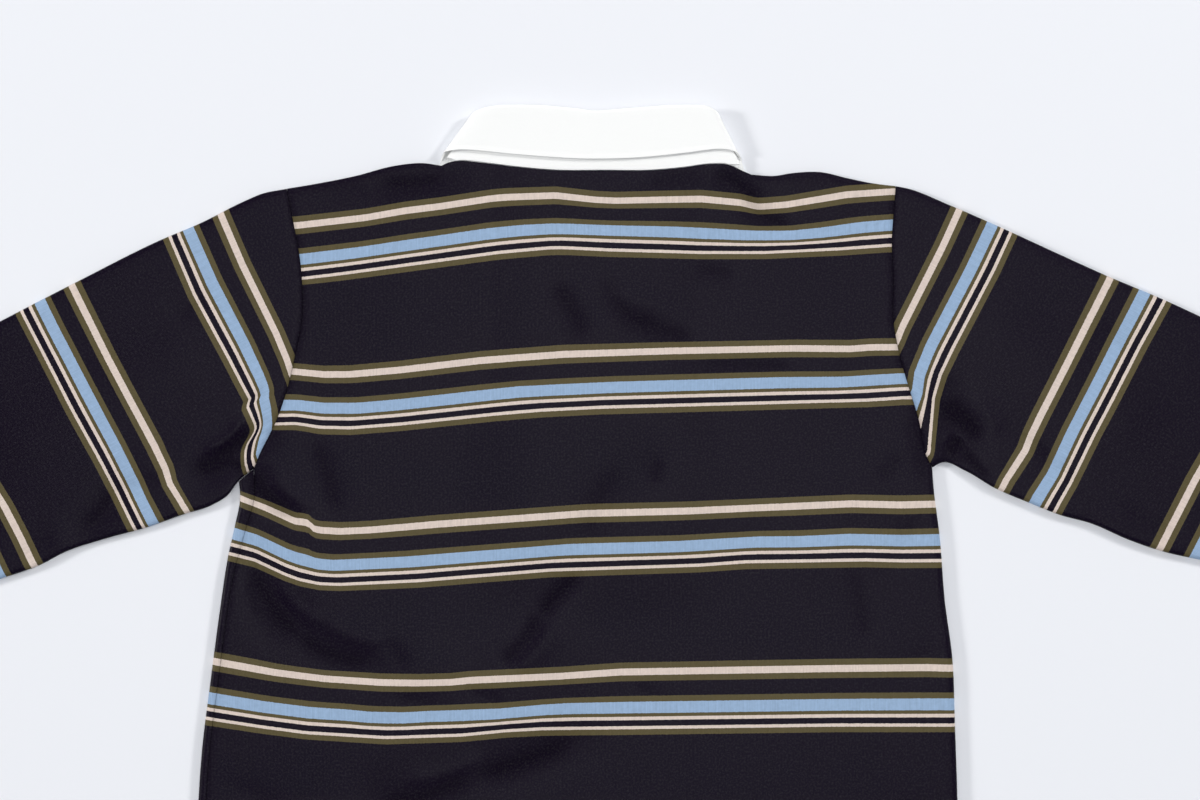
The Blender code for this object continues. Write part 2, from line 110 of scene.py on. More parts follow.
SIDE_LEFT = ((-277, 87), (-276, 75), (-280, 53), (-286, 26), (-291, -7), (-300, -75), (-306, -123),
             (-309, -165), (-311, -280), (-310, HEM_Y))
SIDE_RIGHT = ((270, 98), (271, 84), (276, 43), (280, -7), (286, -53), (288, -105), (290, -165),
              (291, -280), (290, HEM_Y))
SLEEVE_LEFT_TOP = ((-239, 318), (-259, 314), (-271, 309), (-307, 291), (-340, 277), (-402, 246), (-466, 213),
                   (-560, 163), (-717, 76))
SLEEVE_LEFT_BOTTOM = ((-265.3, 97.3), (-277.4, 87.3), (-286, 76), (-299, 68), (-321, 61), (-349, 51),
                      (-382, 42), (-415, 31), (-432, 22), (-466, 10), (-560, -16), (-676, -22))
SLEEVE_RIGHT_TOP = ((241, 320), (247, 319), (284, 305), (314, 292), (371, 266), (404, 251), (456, 229),
                    (482, 217), (590, 166), (724, 97))
SLEEVE_RIGHT_BOTTOM = ((270.3, 98.3), (278, 102), (297, 95), (319, 82), (347, 70), (371, 60.5), (395, 54),
                       (425, 41), (453, 31.5), (482, 25), (580, 0), (686, -5))

# How far the side seams lie in from the side folds: the left one on top, the right one underneath
SEAM_INSET = ((87, 12.5), (50, 9.5), (0, 6.5), (HEM_Y, 6.5))
SEAM_INSET_UNDER = 6.5
UNDERARM_EASE = 6.0

# Where the front is lifted by the collar and the placket. columns: height, x from, x to, y from, ramp
FRONT_LIFT = ((1.85, -132.0, 138.0, 185.0, 30.0), (3.85, -40.0, 47.0, 40.0, 24.0))
BACK_SHARE = 0.75
BACK_RAMP = 3.0

# %% [markdown]
# A smooth curve through a few places is enough for a cut edge. Each stretch is a cubic whose slopes come
# from its neighbours, the same sum that Blender's own curves use.

# %% Curves and patches


def along(places, fractions, even=False):
    """Points of the smooth curve through the places, at fractions of its length, or of its rows if even."""
    places = np.array(places, float)
    steps = np.ones(len(places) - 1) if even else np.hypot(*np.diff(places, axis=0).T)
    reach = np.r_[0, np.cumsum(steps)] / steps.sum()
    slopes = np.gradient(places, reach, axis=0)
    fractions = np.clip(np.asarray(fractions, float), 0, 1)
    part = np.clip(np.searchsorted(reach, fractions, side="right") - 1, 0, len(reach) - 2)
    span = (reach[part + 1] - reach[part])[:, None]
    t = (fractions[:, None] - reach[part][:, None]) / span
    start, end = places[part], places[part + 1]
    leave, arrive = slopes[part] * span, slopes[part + 1] * span
    bend = (2 * t**3 - 3 * t**2 + 1) * start + (t**3 - 2 * t**2 + t) * leave
    return bend + (3 * t**2 - 2 * t**3) * end + (t**3 - t**2) * arrive


def length_of(places):
    return float(np.hypot(*np.diff(np.array(places, float), axis=0).T).sum())


def coons(top, bottom, left, right, across, down):
    """A patch of points between four boundary curves, rows down by columns across."""
    u, v = across[None, :, None], down[:, None, None]
    sides = (1 - u) * left[:, None] + u * right[:, None]
    ends = (1 - v) * top[None] + v * bottom[None]
    corners = (1 - v) * ((1 - u) * top[0] + u * top[-1]) + v * ((1 - u) * bottom[0] + u * bottom[-1])
    return sides + ends - corners


def smooth_step(value):
    value = np.clip(value, 0, 1)
    return value * value * (3 - 2 * value)


print("left armhole in mm:", round(length_of(ARMHOLE_LEFT)))

# %% [markdown]
# Laid cloth isn't level. Wide, shallow troughs and swells run across it where the shirt was smoothed out,
# and tight tucks gather under the arms. Simulation would make other folds than these, so each is a line
# with its own place, width and rise, and cloth near the line goes up or down by a soft bell curve. The wide
# ones are also in the CAD model. The fine ones bow a little and fade out at both ends, as real creases do.

# %% Folds and creases

# columns: x and y of one end, x and y of the other, half width, rise
FOLDS = (
    (-111, 330, -160, 322, 16, -1.4),
    (118, 326, 138, 305, 14, -1.4),
    (-262, 124, -305, 92, 14, -2.2),
    (-262, 24, -245, -20, 18, -1.8),
    (-245, -20, -170, -58, 18, -1.6),
    (-90, -42, 38, 100, 24, -1.2),
    (-165, -160, -10, -115, 22, -1.5),
    (-150, -60, -40, -40, 30, 1.4),
    (60, 150, 180, 40, 40, 1.0),
    (284, 158, 290, 105, 13, -2.0),
    (-372, 82, -398, 50, 14, -1.5),
    (330, 200, 420, 140, 26, 1.2),
    (-330, 180, -440, 120, 28, 1.2),
    (-560, 110, -640, 40, 20, -1.6),
    (560, 110, 640, 60, 20, -1.6),
    (-180, -250, -60, -330, 26, -1.4),
    (120, -220, 230, -300, 26, -1.4),
)

# columns: x and y of one end, x and y of the other, bow, half width, rise
CREASES = (
    (-112, 327, -166, 323, 3, 5, -1.4),
    (-172, 316, -208, 320, -2, 8, -0.6),
    (96, 331, 134, 306, 4, 6.5, -1.5),
    (120, 312, 160, 289, -4, 6, -1.5),
    (40, 321, 96, 327, 3, 7, -0.8),
    (82, 255, 114, 249, 2, 8, -0.9),
    (-264, 131, -296, 104, 3, 3.8, -2.0),
    (-276, 145, -255, 157, 1, 2.6, -1.2),
    (-286, 102, -310, 97, 1, 5, -2.2),
    (-272, 137, -306, 110, 4, 5, 2.0),
    (-291, 102, -266, 93, 2, 3.6, -2.0),
    (-262, 112, -276, 116, 1, 3.5, -0.6),
    (-270, 95, -230, 56, -3, 5.5, -3.2),
    (-264, 100, -252, 86, 0, 8, -0.8),
    (-258, 102, -210, 62, -5, 7, 1.2),
    (-228, 61, -217, 50, 1, 3.4, 0.9),
    (-220, 122, -201, 58, 3, 9, -1.2),
    (-268, 22, -226, -38, -4, 6.5, -1.5),
    (-232, -33, -168, -57, -6, 6.5, -1.7),
    (-269, 9, -261, -22, -1, 3, -0.6),
    (-250, 12, -206, -28, -5, 9, 1.3),
    (-212, -22, -160, -40, -5, 9, 1.2),
    (-24, -22, -62, -66, 3, 8, 1.2),
    (-161, -36, -146, -64, 1, 8, -1.0),
    (-232, -2, -220, -16, 1, 6, -0.6),
    (-8, 14, -40, -21, -2, 6, -2.1),
    (-38, -17, -72, -60, 3, 6.5, -2.1),
    (-4, 42, 24, 100, 4, 8, -0.6),
    (50, 84, 57, 108, 1, 6, -0.9),
    (-30, 246, -4, 198, 3, 9, -1.2),
    (6, 250, 48, 206, -4, 9, -1.4),
    (36, 218, 84, 198, -2, 9, -1.3),
    (-4, 244, 72, 222, -3, 8, 0.7),
    (76, 179, 168, 176, 2, 6, -1.0),
    (-100, 260, -60, 244, 3, 14, 0.5),
    (-170, -170, -88, -144, -4, 7.5, -1.8),
    (-92, -146, -10, -116, -3, 7.5, -2.0),
    (-150, -150, -80, -128, -4, 9, 1.2),
    (-96, -78, -68, -88, 1, 6, -0.9),
    (-158, -84, -120, -88, 1, 7, -0.8),
    (36, -74, 54, -82, 1, 6, -0.6),
    (208, 20, 217, -44, 2, 7, -0.8),
    (256, 146, 266, 82, -2, 6, -0.9),
    (-376, 80, -400, 50, 3, 6, -1.3),
    (-330, 98, -380, 80, 3, 7, -0.8),
    (-420, 44, -462, 30, 2, 8, -0.7),
    (291, 123, 284, 107, 1, 3.8, -2.3),
    (276, 117, 299, 118, 7, 3.6, 1.3),
    (274, 148, 310, 118, 4, 8, -2.4),
    (294, 112, 317, 87, -1, 3.6, -1.4),
    (300, 150, 322, 122, 4, 8, 0.9),
    (340, 124, 366, 100, 3, 6, -1.0),
    (364, 102, 390, 84, 2, 7, -0.8),
    (420, 70, 470, 44, -3, 8, -0.6),
    (246, 110, 226, 88, 3, 7, -0.7),
    (262, 60, 236, 20, -4, 9, -0.6),
    (274, -40, 230, -70, 4, 10, -0.5),
    (-300, 240, -330, 214, 3, 12, -0.7),
    (400, 214, 440, 190, -3, 12, -0.7),
    (-288, -150, -240, -180, 4, 9, -0.6),
    (270, -170, 210, -196, -4, 10, -0.6),
    (-120, -214, -40, -236, 6, 12, -0.7),
    (30, -250, 96, -232, 5, 12, -0.7),
    (-500, 140, -540, 96, 4, 8, -0.9),
    (-600, 60, -660, 20, 4, 8, -0.9),
    (520, 150, 560, 104, -4, 8, -0.9),
    (620, 70, 676, 30, -4, 8, -0.9),
)

# A power of 2 gives a round trough, and 1 a sharp one
CREASE_POWER = 1.35
# The share of its length over which a crease fades at each end, and how much of its height is left there
CREASE_FADE = 0.25
CREASE_END = 0.2


def nearest_on(x, y, x0, y0, x1, y1):
    """Distance from each place to the straight line between two others, and how far along it that is."""
    run = np.array((x1 - x0, y1 - y0), float)
    length = np.hypot(*run)
    t = np.clip(((x - x0) * run[0] + (y - y0) * run[1]) / length**2, 0, 1)
    return np.hypot(x - x0 - t * run[0], y - y0 - t * run[1]), t * length


def fold_rise(x, y):
    """The height that the wide folds add at a place on the top layer."""
    rise = np.zeros(np.shape(x))
    for x0, y0, x1, y1, half_width, height in FOLDS:
        away, _ = nearest_on(x, y, x0, y0, x1, y1)
        rise = rise + height * np.exp(-((away / half_width) ** 2))
    return rise


def crease_rise(x, y):
    """The height that the fine creases add."""
    rise = np.zeros(np.shape(x))
    for x0, y0, x1, y1, bow, half_width, height in CREASES:
        run = np.array((x1 - x0, y1 - y0), float)
        length = np.hypot(*run)
        t = ((x - x0) * run[0] + (y - y0) * run[1]) / length**2
        inside = np.clip(t, 0, 1)
        side = ((y - y0) * run[0] - (x - x0) * run[1]) / length - bow * np.sin(np.pi * inside)
        past = (t - inside) * length
        fade = smooth_step(inside / CREASE_FADE) * smooth_step((1 - inside) / CREASE_FADE)
        fade = CREASE_END + (1 - CREASE_END) * fade
        rise = rise + height * fade * np.exp(-((np.hypot(side, past) / half_width) ** CREASE_POWER))
    return rise


def front_lift(x, y, wider=1.0):
    """How far the front is lifted by what lies under it. The back over it slopes off more widely."""
    lift = np.zeros(np.shape(x))
    for height, x_from, x_to, y_from, ramp in FRONT_LIFT:
        ramp = ramp * wider
        inside = smooth_step((x - x_from) / ramp + 1) * smooth_step((x_to - x) / ramp + 1)
        lift = np.maximum(lift, height * inside * smooth_step((y - y_from) / ramp + 1))
    return lift


print("wide folds:", len(FOLDS), "fine creases:", len(CREASES))

# %% [markdown]
# A seam in jersey sinks a little, because its stitches pull the two edges down, and it puckers between
# them. So cloth within a few millimetres of an armhole or a side seam goes down, by slightly uneven amounts.

# %% Seams that sink
ARMHOLE_SEAM = (0.6, 2.0)
SIDE_SEAM = (0.35, 1.2)
PUCKER = 0.16
PUCKER_PITCH = 11.0
PUCKER_DRIFT = 3.0
PUCKER_DRIFT_LENGTH = 37.0
PUCKER_SPREAD = 3.0


def distance_to(places, x, y):
    """Distance from each place to a curve, and how far along the curve its nearest point is."""
    nearest = np.full(np.shape(x), np.inf)
    reach = np.zeros(np.shape(x))
    walked = 0.0
    for (x0, y0), (x1, y1) in zip(places[:-1], places[1:]):
        away, reached = nearest_on(x, y, x0, y0, x1, y1)
        closer = away < nearest
        nearest = np.where(closer, away, nearest)
        reach = np.where(closer, walked + reached, reach)
        walked += np.hypot(x1 - x0, y1 - y0)
    return nearest, reach


def inset_at(y):
    heights, insets = np.array(SEAM_INSET).T
    return np.interp(y, heights[::-1], insets[::-1])


SEAM_STATIONS = np.linspace(0, 1, 60)
side_seam = along(SIDE_LEFT, SEAM_STATIONS)
side_seam[:, 0] += inset_at(side_seam[:, 1])
SEAM_LINES = ((along(ARMHOLE_LEFT, SEAM_STATIONS), *ARMHOLE_SEAM),
              (along(ARMHOLE_RIGHT, SEAM_STATIONS), *ARMHOLE_SEAM),
              (side_seam, *SIDE_SEAM))


def seam_dip(x, y):
    """The height that the sunken, puckered seams add."""
    dip = np.zeros(np.shape(x))
    for line, depth, half_width in SEAM_LINES:
        away, reach = distance_to(line, x, y)
        drift = PUCKER_DRIFT * np.sin(reach / PUCKER_DRIFT_LENGTH)
        pucker = PUCKER * depth * np.sin(2 * np.pi * reach / PUCKER_PITCH + drift)
        dip = dip - depth * np.exp(-((away / half_width) ** 2))
        dip = dip + pucker * np.exp(-((away / (PUCKER_SPREAD * half_width)) ** 2))
    return dip


def top_height(x, y):
    """Height of the shirt's top layer above the surface that it lies on, clear of the layer under it."""
    level = STACK + fold_rise(x, y) + BACK_SHARE * front_lift(x, y, BACK_RAMP)
    level = level + crease_rise(x, y) + seam_dip(x, y)
    return np.maximum(level, front_lift(x, y) + 2 * WALL + SEAM)


print("height over the middle of the back:", round(float(top_height(np.array(0.0), np.array(0.0))), 2), "mm")

# %% [markdown]
# The stripes are knitted in, so they follow the cloth. They repeat every 124 mm down each panel. On the
# laid shirt they bend, because the panels are pulled a little out of square. Each line here is where the
# middle of one stripe runs, in pixels of the photograph, and the cloth between two lines is shared out
# evenly. That gives every place its distance down the knitting, which goes into the second coordinate of a
# UV map. The first is the distance along the stripes.

# %% Where the stripe groups run
PERIOD = 124.0
GROUP = 56.2
CREAM_AT = 7.25
BLUE_AT = 34.85
LAST_AT = 50.55

BACK_LINES = (
    (CREAM_AT, ((296, 226.1), (366, 218.2), (406, 211.2), (441, 206.9), (491, 199.2), (506, 197.9),
                (556, 196.3), (596, 200.8), (616, 201.7), (701, 199.6), (741, 203.4), (756, 207.2),
                (763, 207.2), (786, 205.4), (846, 195.2), (891, 192.2))),
    (BLUE_AT, ((302, 259.2), (357, 252.7), (487, 234), (522, 230.4), (552, 228.9), (572, 229), (672, 231.8),
               (742, 235.3), (792, 235.6), (822, 232.9), (862, 227.1), (892, 224.6))),
    (LAST_AT, ((304, 278.2), (339, 274), (499, 252.4), (549, 247.9), (564, 247.7), (609, 250), (699, 252.5),
               (764, 252.5), (839, 248.8), (889, 245.2))),
    (PERIOD + CREAM_AT, ((290, 371.1), (325, 374.6), (350, 374.5), (400, 370.2), (480, 360.8), (565, 354.5),
                         (670, 351.1), (795, 348.5), (850, 349.1), (870, 347.6), (890, 347.5))),
    (PERIOD + BLUE_AT, ((284, 404.8), (299, 404.8), (324, 407.7), (359, 407.7), (404, 403.8), (519, 391.3),
                        (614, 386.9), (779, 382.2), (839, 381.7), (899, 377.9))),
    (PERIOD + LAST_AT, ((276, 423.6), (296, 423), (321, 426.7), (351, 427.4), (401, 423.5), (496, 413.5),
                        (541, 409.7), (601, 406.7), (866, 399.7), (906, 397.1))),
    (2 * PERIOD + CREAM_AT, ((238, 496), (246, 499.3), (266, 507.2), (296, 521), (304, 521.5), (310, 523),
                             (314, 528.5), (321, 530), (341, 531.2), (371, 529.8), (436, 524.1), (586, 513.2),
                             (691, 510.6), (851, 503.5), (901, 504.8), (931, 504))),
    (2 * PERIOD + BLUE_AT, ((233, 532.5), (258, 539.7), (288, 554), (298, 557.4), (318, 563), (333, 564.5),
                            (408, 561.2), (568, 548.7), (678, 545.7), (758, 541.1), (798, 541), (848, 538.7),
                            (903, 539.8), (938, 539))),
    (2 * PERIOD + LAST_AT, ((230, 552.8), (255, 559.2), (285, 573.3), (300, 578.8), (320, 582.9),
                            (340, 583.7), (420, 579.8), (550, 569.1), (700, 564.2), (745, 560.9), (865, 559),
                            (900, 560), (940, 559.8))),
    (3 * PERIOD + CREAM_AT, ((210, 660), (276, 671.9), (326, 678.1), (381, 681.8), (421, 682.4), (451, 681.7),
                             (471, 679.6), (561, 675.7), (621, 671.4), (831, 668), (926, 667), (946, 667.6))),
    (3 * PERIOD + BLUE_AT, ((209, 696.9), (264, 705.7), (309, 711.4), (349, 713.9), (369, 716.1),
                            (404, 716.8), (429, 715.1), (499, 713.1), (544, 708.6), (569, 707.2),
                            (844, 703.4), (949, 703))),
    (3 * PERIOD + LAST_AT, ((207, 717.2), (262, 725.7), (307, 731.6), (387, 736.4), (462, 734), (507, 729.5),
                            (542, 727.7), (837, 723.9), (952, 724))),
    (4 * PERIOD + CREAM_AT, ((200, 818), (380, 837), (580, 831), (955, 826))),
)
LEFT_LINES = (
    (CREAM_AT, ((221.2, 213.7), (243.3, 265.3), (276.7, 333.6), (287.4, 359.5), (292, 374))),
    (BLUE_AT, ((189.3, 228.7), (213.8, 283.6), (245.3, 343.8), (260.2, 375.7), (264.6, 386.4),
               (266, 393.6), (264.8, 398.9), (266.4, 409.6), (266.9, 420.4), (266.4, 429.3), (263.8, 440.9),
               (261, 451.6))),
    (LAST_AT, ((170.9, 236.1), (196, 295.2), (230.3, 358.5), (241.4, 380.2), (250.4, 397.1), (252, 401),
               (247.7, 404.3), (253, 415.9), (256.8, 425), (256.5, 430), (253.9, 434.6), (248.6, 442.7),
               (246.3, 449.8), (246, 458.8), (246.8, 467.7))),
    (PERIOD + CREAM_AT, ((73.1, 286.3), (108.8, 357.9), (155.6, 446.3), (166, 467.9), (170.9, 483.4),
                         (185.9, 507.1))),
    (PERIOD + BLUE_AT, ((41.4, 301.1), (55.5, 329.9), (116.9, 446.7), (151.9, 518.6))),
    (PERIOD + LAST_AT, ((23.3, 311.5), (73, 407.4), (103.7, 463.6), (132.4, 520.8))),
    (2 * PERIOD + CREAM_AT, ((-71.5, 347), (-39.5, 417), (-9.5, 482), (6.1, 506.9), (20.8, 535.3),
                             (30.9, 557.1))),
)
RIGHT_LINES = (
    (CREAM_AT, ((958.1, 211.1), (941.6, 247.6), (902.1, 326.2), (897, 339))),
    (BLUE_AT, ((991.5, 223.5), (967.3, 274), (928.4, 348.4), (918.3, 374.7), (917, 392))),
    (LAST_AT, ((1010, 231.4), (992.1, 270.5), (951.4, 348.5), (939.4, 373.8), (932.5, 397.3), (929.5, 436.1),
               (928.5, 452))),
    (PERIOD + CREAM_AT, ((1109.5, 277.7), (1039.1, 416.9), (1030.4, 435), (1024.6, 450), (1004.6, 480.2))),
    (PERIOD + BLUE_AT, ((1142.9, 291.9), (1071.4, 430.5), (1051.3, 474.1), (1036.2, 497.9))),
    (PERIOD + LAST_AT, ((1163.2, 300.4), (1138.4, 345.8), (1092.3, 434.5), (1069.7, 481.4), (1057.9, 502.3))),
    (2 * PERIOD + CREAM_AT, ((1274, 334), (1240, 392), (1208.4, 455), (1193.4, 480.6), (1162.6, 541.2))),
)

# The way that the distance down the knitting grows, and the way along the stripes
DOWN_THE_BODY = ((0.0, -1.0), (1.0, 0.0))
DOWN_THE_LEFT = ((-0.89, -0.455), (0.455, -0.89))
DOWN_THE_RIGHT = ((0.89, -0.455), (-0.455, -0.89))
LINE_BLUR = 0.9


def cloth_place(places, lines, ways):
    """Distance along the stripes and down the knitting, in metres, of table places (last axis x, y)."""
    down_way, along_way = np.array(ways)
    down, beside = places[..., :2] @ down_way, places[..., :2] @ along_way
    starts, edges = [], []
    for start, line in lines:
        line = from_photo(line)
        line = line[np.argsort(line @ along_way)]
        reach, value = line @ along_way, line @ down_way
        blurred = sum(np.interp(beside + step * LINE_BLUR, reach, value) for step in (-1, 0, 0, 1)) / 4
        starts.append(start)
        edges.append(blurred)
    course = starts[0] + down - edges[0]
    for start, end, near, far in zip(starts[:-1], starts[1:], edges[:-1], edges[1:]):
        share = (down - near) / (far - near)
        course = np.where(down > near, start + share * (end - start), course)
    course = np.where(down > edges[-1], starts[-1] + down - edges[-1], course)
    return np.stack([beside, course], axis=-1) * MM


print("stripe groups on the back:", sum(start % PERIOD == CREAM_AT for start, _ in BACK_LINES))

# %% [markdown]
# Each cloth piece is a Blender grid whose points are moved to their laid places. A Solidify modifier then
# gives it the thickness of the cloth, inwards from the outer face, so the outer face keeps its place. It
# is applied at once, so that the cut edges of the wall can be marked sharp and catch no light. A second UV
# map holds how deep in a fold or seam each place is, from 0 to 1. The jersey's material reads it to paint
# shade into its colour there, and to make it rougher.

# %% A grid of cloth
WELD = 0.00002
SHARP_CLOTH = 50
# The hollow map paints shade into the jersey's colour. Deep creases and folds get painted shade, and the seam
# share makes a thin dark line of painted shade along each seam.
HOLLOW_DEPTH = 2.4
FOLD_SHARE = 0.3
SEAM_SHARE = 4.0
TOP_LAYER = 2.0


def hollow_at(places):
    """How deep in a fold or seam each place of the top layer is: 0 on the flat, 1 in the deepest ones. The
    jersey's material paints shade into its colour by this depth.
    """
    x, y, z = np.moveaxis(places, -1, 0)
    depth = -(crease_rise(x, y) + FOLD_SHARE * fold_rise(x, y) + SEAM_SHARE * seam_dip(x, y))
    return smooth_step(depth / HOLLOW_DEPTH) * (z > TOP_LAYER)


def to_object(mesh, name):
    """An object in the scene, made from a bmesh, which is freed."""
    data = bpy.data.meshes.new(name)
    mesh.to_mesh(data)
    mesh.free()
    made = bpy.data.objects.new(name, data)
    bpy.context.scene.collection.objects.link(made)
    return made


class Grid:
    """Bmesh grids whose points are moved to tables of laid places, with the UV maps cloth and hollow."""

    def __init__(self):
        self.mesh = bmesh.new()
        for name in ("cloth", "hollow"):
            self.mesh.loops.layers.uv.new(name)

    def add(self, places, cloth, flip=False):
        """Adds one grid of places in table millimetres, with its cloth coordinates in metres."""
        places, cloth = np.array(places, float), np.array(cloth, float)
        hollow = hollow_at(places)
        cloth_map, hollow_map = (self.mesh.loops.layers.uv[name] for name in ("cloth", "hollow"))
        rows, columns = places.shape[:2]
        made = bmesh.ops.create_grid(self.mesh, x_segments=columns - 1, y_segments=rows - 1, size=1)
        station = {}
        for vertex in made["verts"]:
            column = round((vertex.co.x + 1) / 2 * (columns - 1))
            row = round((vertex.co.y + 1) / 2 * (rows - 1))
            vertex.co = (places[row, column] + SHIFT) * MM
            station[vertex] = (row, column)
        faces = {face for vertex in made["verts"] for face in vertex.link_faces}
        faces = sorted(faces, key=lambda face: face.index)
        for face in faces:
            for loop in face.loops:
                loop[cloth_map].uv = cloth[station[loop.vert]]
                loop[hollow_map].uv = (hollow[station[loop.vert]], 0)
        if flip:
            bmesh.ops.reverse_faces(self.mesh, faces=faces)

    def finish(self, name, wall, offset=-1):
        """The piece, whose cloth is a wall of this thickness, or is closed already if that is 0."""
        bmesh.ops.remove_doubles(self.mesh, verts=self.mesh.verts, dist=WELD)
        piece = to_object(self.mesh, name)
        if wall:
            thin = piece.data
            thick = piece.modifiers.new("wall", "SOLIDIFY")
            thick.thickness = wall * MM
            thick.offset = offset
            thick.use_even_offset = True
            thick.use_quality_normals = True
            graph = bpy.context.evaluated_depsgraph_get()
            piece.data = bpy.data.meshes.new_from_object(
                piece.evaluated_get(graph), preserve_all_data_layers=True, depsgraph=graph)
            piece.modifiers.clear()
            bpy.data.meshes.remove(thin)
            piece.data.name = name
        piece.data.shade_smooth()
        piece.data.set_sharp_from_angle(angle=math.radians(SHARP_CLOTH))
        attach(piece, "root")
        return piece


def with_height(plan, height):
    return np.concatenate([plan, np.asarray(height)[..., None]], axis=-1)


print("grid ready")

# %% [markdown]
# The back and the front are cut alike, but the front's neck is deeper. Rows of each grid run from the
# shoulders to the hem. At the shoulders, the first rows roll half way round the edge to meet the other
# panel. The rows need not be even: they stand close where an edge is round.

# %% Stations of the body's grid
ROLL_ANGLES = (0, 22.5, 45, 67.5, 90)
FOLD_ANGLES = (90, 67.5, 45, 22.5, 0, -22.5, -45, -67.5, -90)
ARMHOLE_STEPS = 80
SIDE_STEPS = 160
SHOULDER_STEPS = 40
NECK_STEPS = 84
NECK_CORNER = 0.007
NECK_FADE = 4
NECK_SHIFTS = (0, 0.3, 0.3, 0.2, 0.1, 0)
ROLL_ROOM = 1.4


def rolled_edge(angle, top, bottom):
    """Inset and height on a rounded side fold: 90 degrees is on top, 0 the outline, -90 underneath."""
    turn = math.radians(angle)
    return CURL * (1 - math.cos(turn)), (top + bottom) / 2 + (top - bottom) / 2 * math.sin(turn)


def body_rows(scale=1.0):
    """Fractions down the armhole, with close rows at its rounded ends, and fractions down the side."""
    reach = length_of(ARMHOLE_LEFT)
    insets = np.array([rolled_edge(angle, 0, 0)[0] for angle in ROLL_ANGLES]) / reach
    count = round(ARMHOLE_STEPS * scale)
    steps = np.arange(1, count) / count
    room = ROLL_ROOM * insets[-1]
    steps = steps[(steps > room) & (steps < 1 - room)]
    armhole = np.r_[0, insets, steps, 1 - insets[-1], 1]
    count = round(SIDE_STEPS * scale)
    return armhole, np.arange(1, count + 1) / count


def body_top(neck, scale=1.0):
    """The top boundary of a panel, and 1 for its shoulder points and 0 for those inside the neck."""
    shoulder = np.linspace(0, 1, round(SHOULDER_STEPS * scale) + 1)
    inside = np.linspace(0, 1, round(NECK_STEPS * scale) + 1)[1:-1]
    inside = np.r_[NECK_CORNER, inside, 1 - NECK_CORNER]
    parts = (along(SHOULDER_LEFT, shoulder), along(neck, inside), along(SHOULDER_RIGHT, shoulder))
    rolled = np.repeat((1.0, 0.0, 1.0), [len(part) for part in parts])
    return np.concatenate(parts), rolled


def body_plan(neck, left, right, scale=1.0):
    """The plan of a panel. The rows follow the back's neck, and a deeper neck fades out down the panel."""
    top, rolled = body_top(BACK_NECK, scale)
    across = (top[:, 0] - top[0, 0]) / (top[-1, 0] - top[0, 0])
    heights = (left[:, 1] + right[:, 1]) / 2
    down = (heights[0] - heights) / (heights[0] - heights[-1])
    bottom = left[-1] + across[:, None] * (right[-1] - left[-1])
    deeper = body_top(neck, scale)[0] - top
    plan = coons(top, bottom, left, right, across, down)
    return plan + deeper * (1 - down[:, None, None]) ** NECK_FADE, rolled


def close_shoulders(plan, own, other, rolled):
    """Rolls the first rows half way round the shoulder edge, and keeps them flat along the neck."""
    count = len(ROLL_ANGLES)
    edge = own[count].copy()
    middle = (edge + other[count]) / 2
    side = np.sign(edge - middle)
    beside_neck = rolled * (1 - np.minimum(np.roll(rolled, 1), np.roll(rolled, -1)))
    spread = beside_neck * NECK_CORNER_GAP
    heights = [middle + side * (SHOULDER_GAP / 2 + spread), middle + side * (SHOULDER_LIP + spread / 2)]
    heights += [middle + (edge - middle) * math.sin(math.radians(angle)) for angle in ROLL_ANGLES[1:]]
    for row, (height, shift) in enumerate(zip(heights, NECK_SHIFTS)):
        own[row] = rolled * height + (1 - rolled) * own[row]
        plan[row, :, 1] -= (1 - rolled) * shift
    return with_height(plan, own)


def body_cloth(places):
    """Cloth coordinates of places on the back, the front or the placket."""
    return cloth_place(np.array(places, float), BACK_LINES, DOWN_THE_BODY)


print("rows and columns of the back:", sum(map(len, body_rows())), len(body_top(BACK_NECK)[1]))

# %% [markdown]
# The back runs from the left side seam, which has crept on top, across to the right side fold, and round
# it to the right side seam underneath. Each side fold is half a circle of nine points. A small patch closes
# the corner where the right fold meets the armhole.

# %% Back panel
armhole_rows, side_rows = body_rows()
outline_left = along(SIDE_LEFT, side_rows)
outline_right = along(SIDE_RIGHT, np.r_[0, side_rows])
seam_left = outline_left + np.stack([inset_at(outline_left[:, 1]), 0 * side_rows], axis=1)
left_edge = np.concatenate([along(ARMHOLE_LEFT, armhole_rows), seam_left])
right_edge = np.concatenate([along(ARMHOLE_RIGHT, armhole_rows[:-1]), outline_right - (CURL, 0)])
plan, rolled = body_plan(BACK_NECK, left_edge, right_edge)
x, y = plan.transpose(2, 0, 1)
back_main = close_shoulders(plan, top_height(x, y), front_lift(x, y), rolled)
back_fold = []
for x, y in outline_right:
    top = float(top_height(x - CURL, y))
    bend = [rolled_edge(angle, top, 0) for angle in FOLD_ANGLES]
    back_fold.append([(x - inset, y, z) for inset, z in bend] + [(x - SEAM_INSET_UNDER, y, 0)])
to_outline = FOLD_ANGLES[:len(ROLL_ANGLES)]
corner = []
for angle in to_outline[:-1]:
    x, y = along(ARMHOLE_RIGHT, [1 - rolled_edge(angle, 0, 0)[0] / length_of(ARMHOLE_LEFT)])[0]
    corner.append((x, y, rolled_edge(angle, float(top_height(x, y)), 0)[1]))
back_corner = np.array([corner + [back_fold[0][len(corner)]], back_fold[0][:len(to_outline)]])
grid = Grid()
grid.add(back_main, body_cloth(back_main), flip=True)
grid.add(back_fold, body_cloth(back_fold), flip=True)
grid.add(back_corner, body_cloth(back_corner), flip=True)
back_cloth = grid.finish("back_cloth", WALL)
print("back:", len(back_cloth.data.polygons), "faces")

# %% [markdown]
# The front lies underneath and needs fewer points. It comes round the left side fold and shows on top as a
# narrow strip beside the seam. At the left underarm its top edge runs from the end of the back's armhole to
# the notch where the sleeve's lower fold starts.

# %% Front panel
FRONT_SCALE = 0.5
HOOK_ANGLES = (90, 67.5, 45)


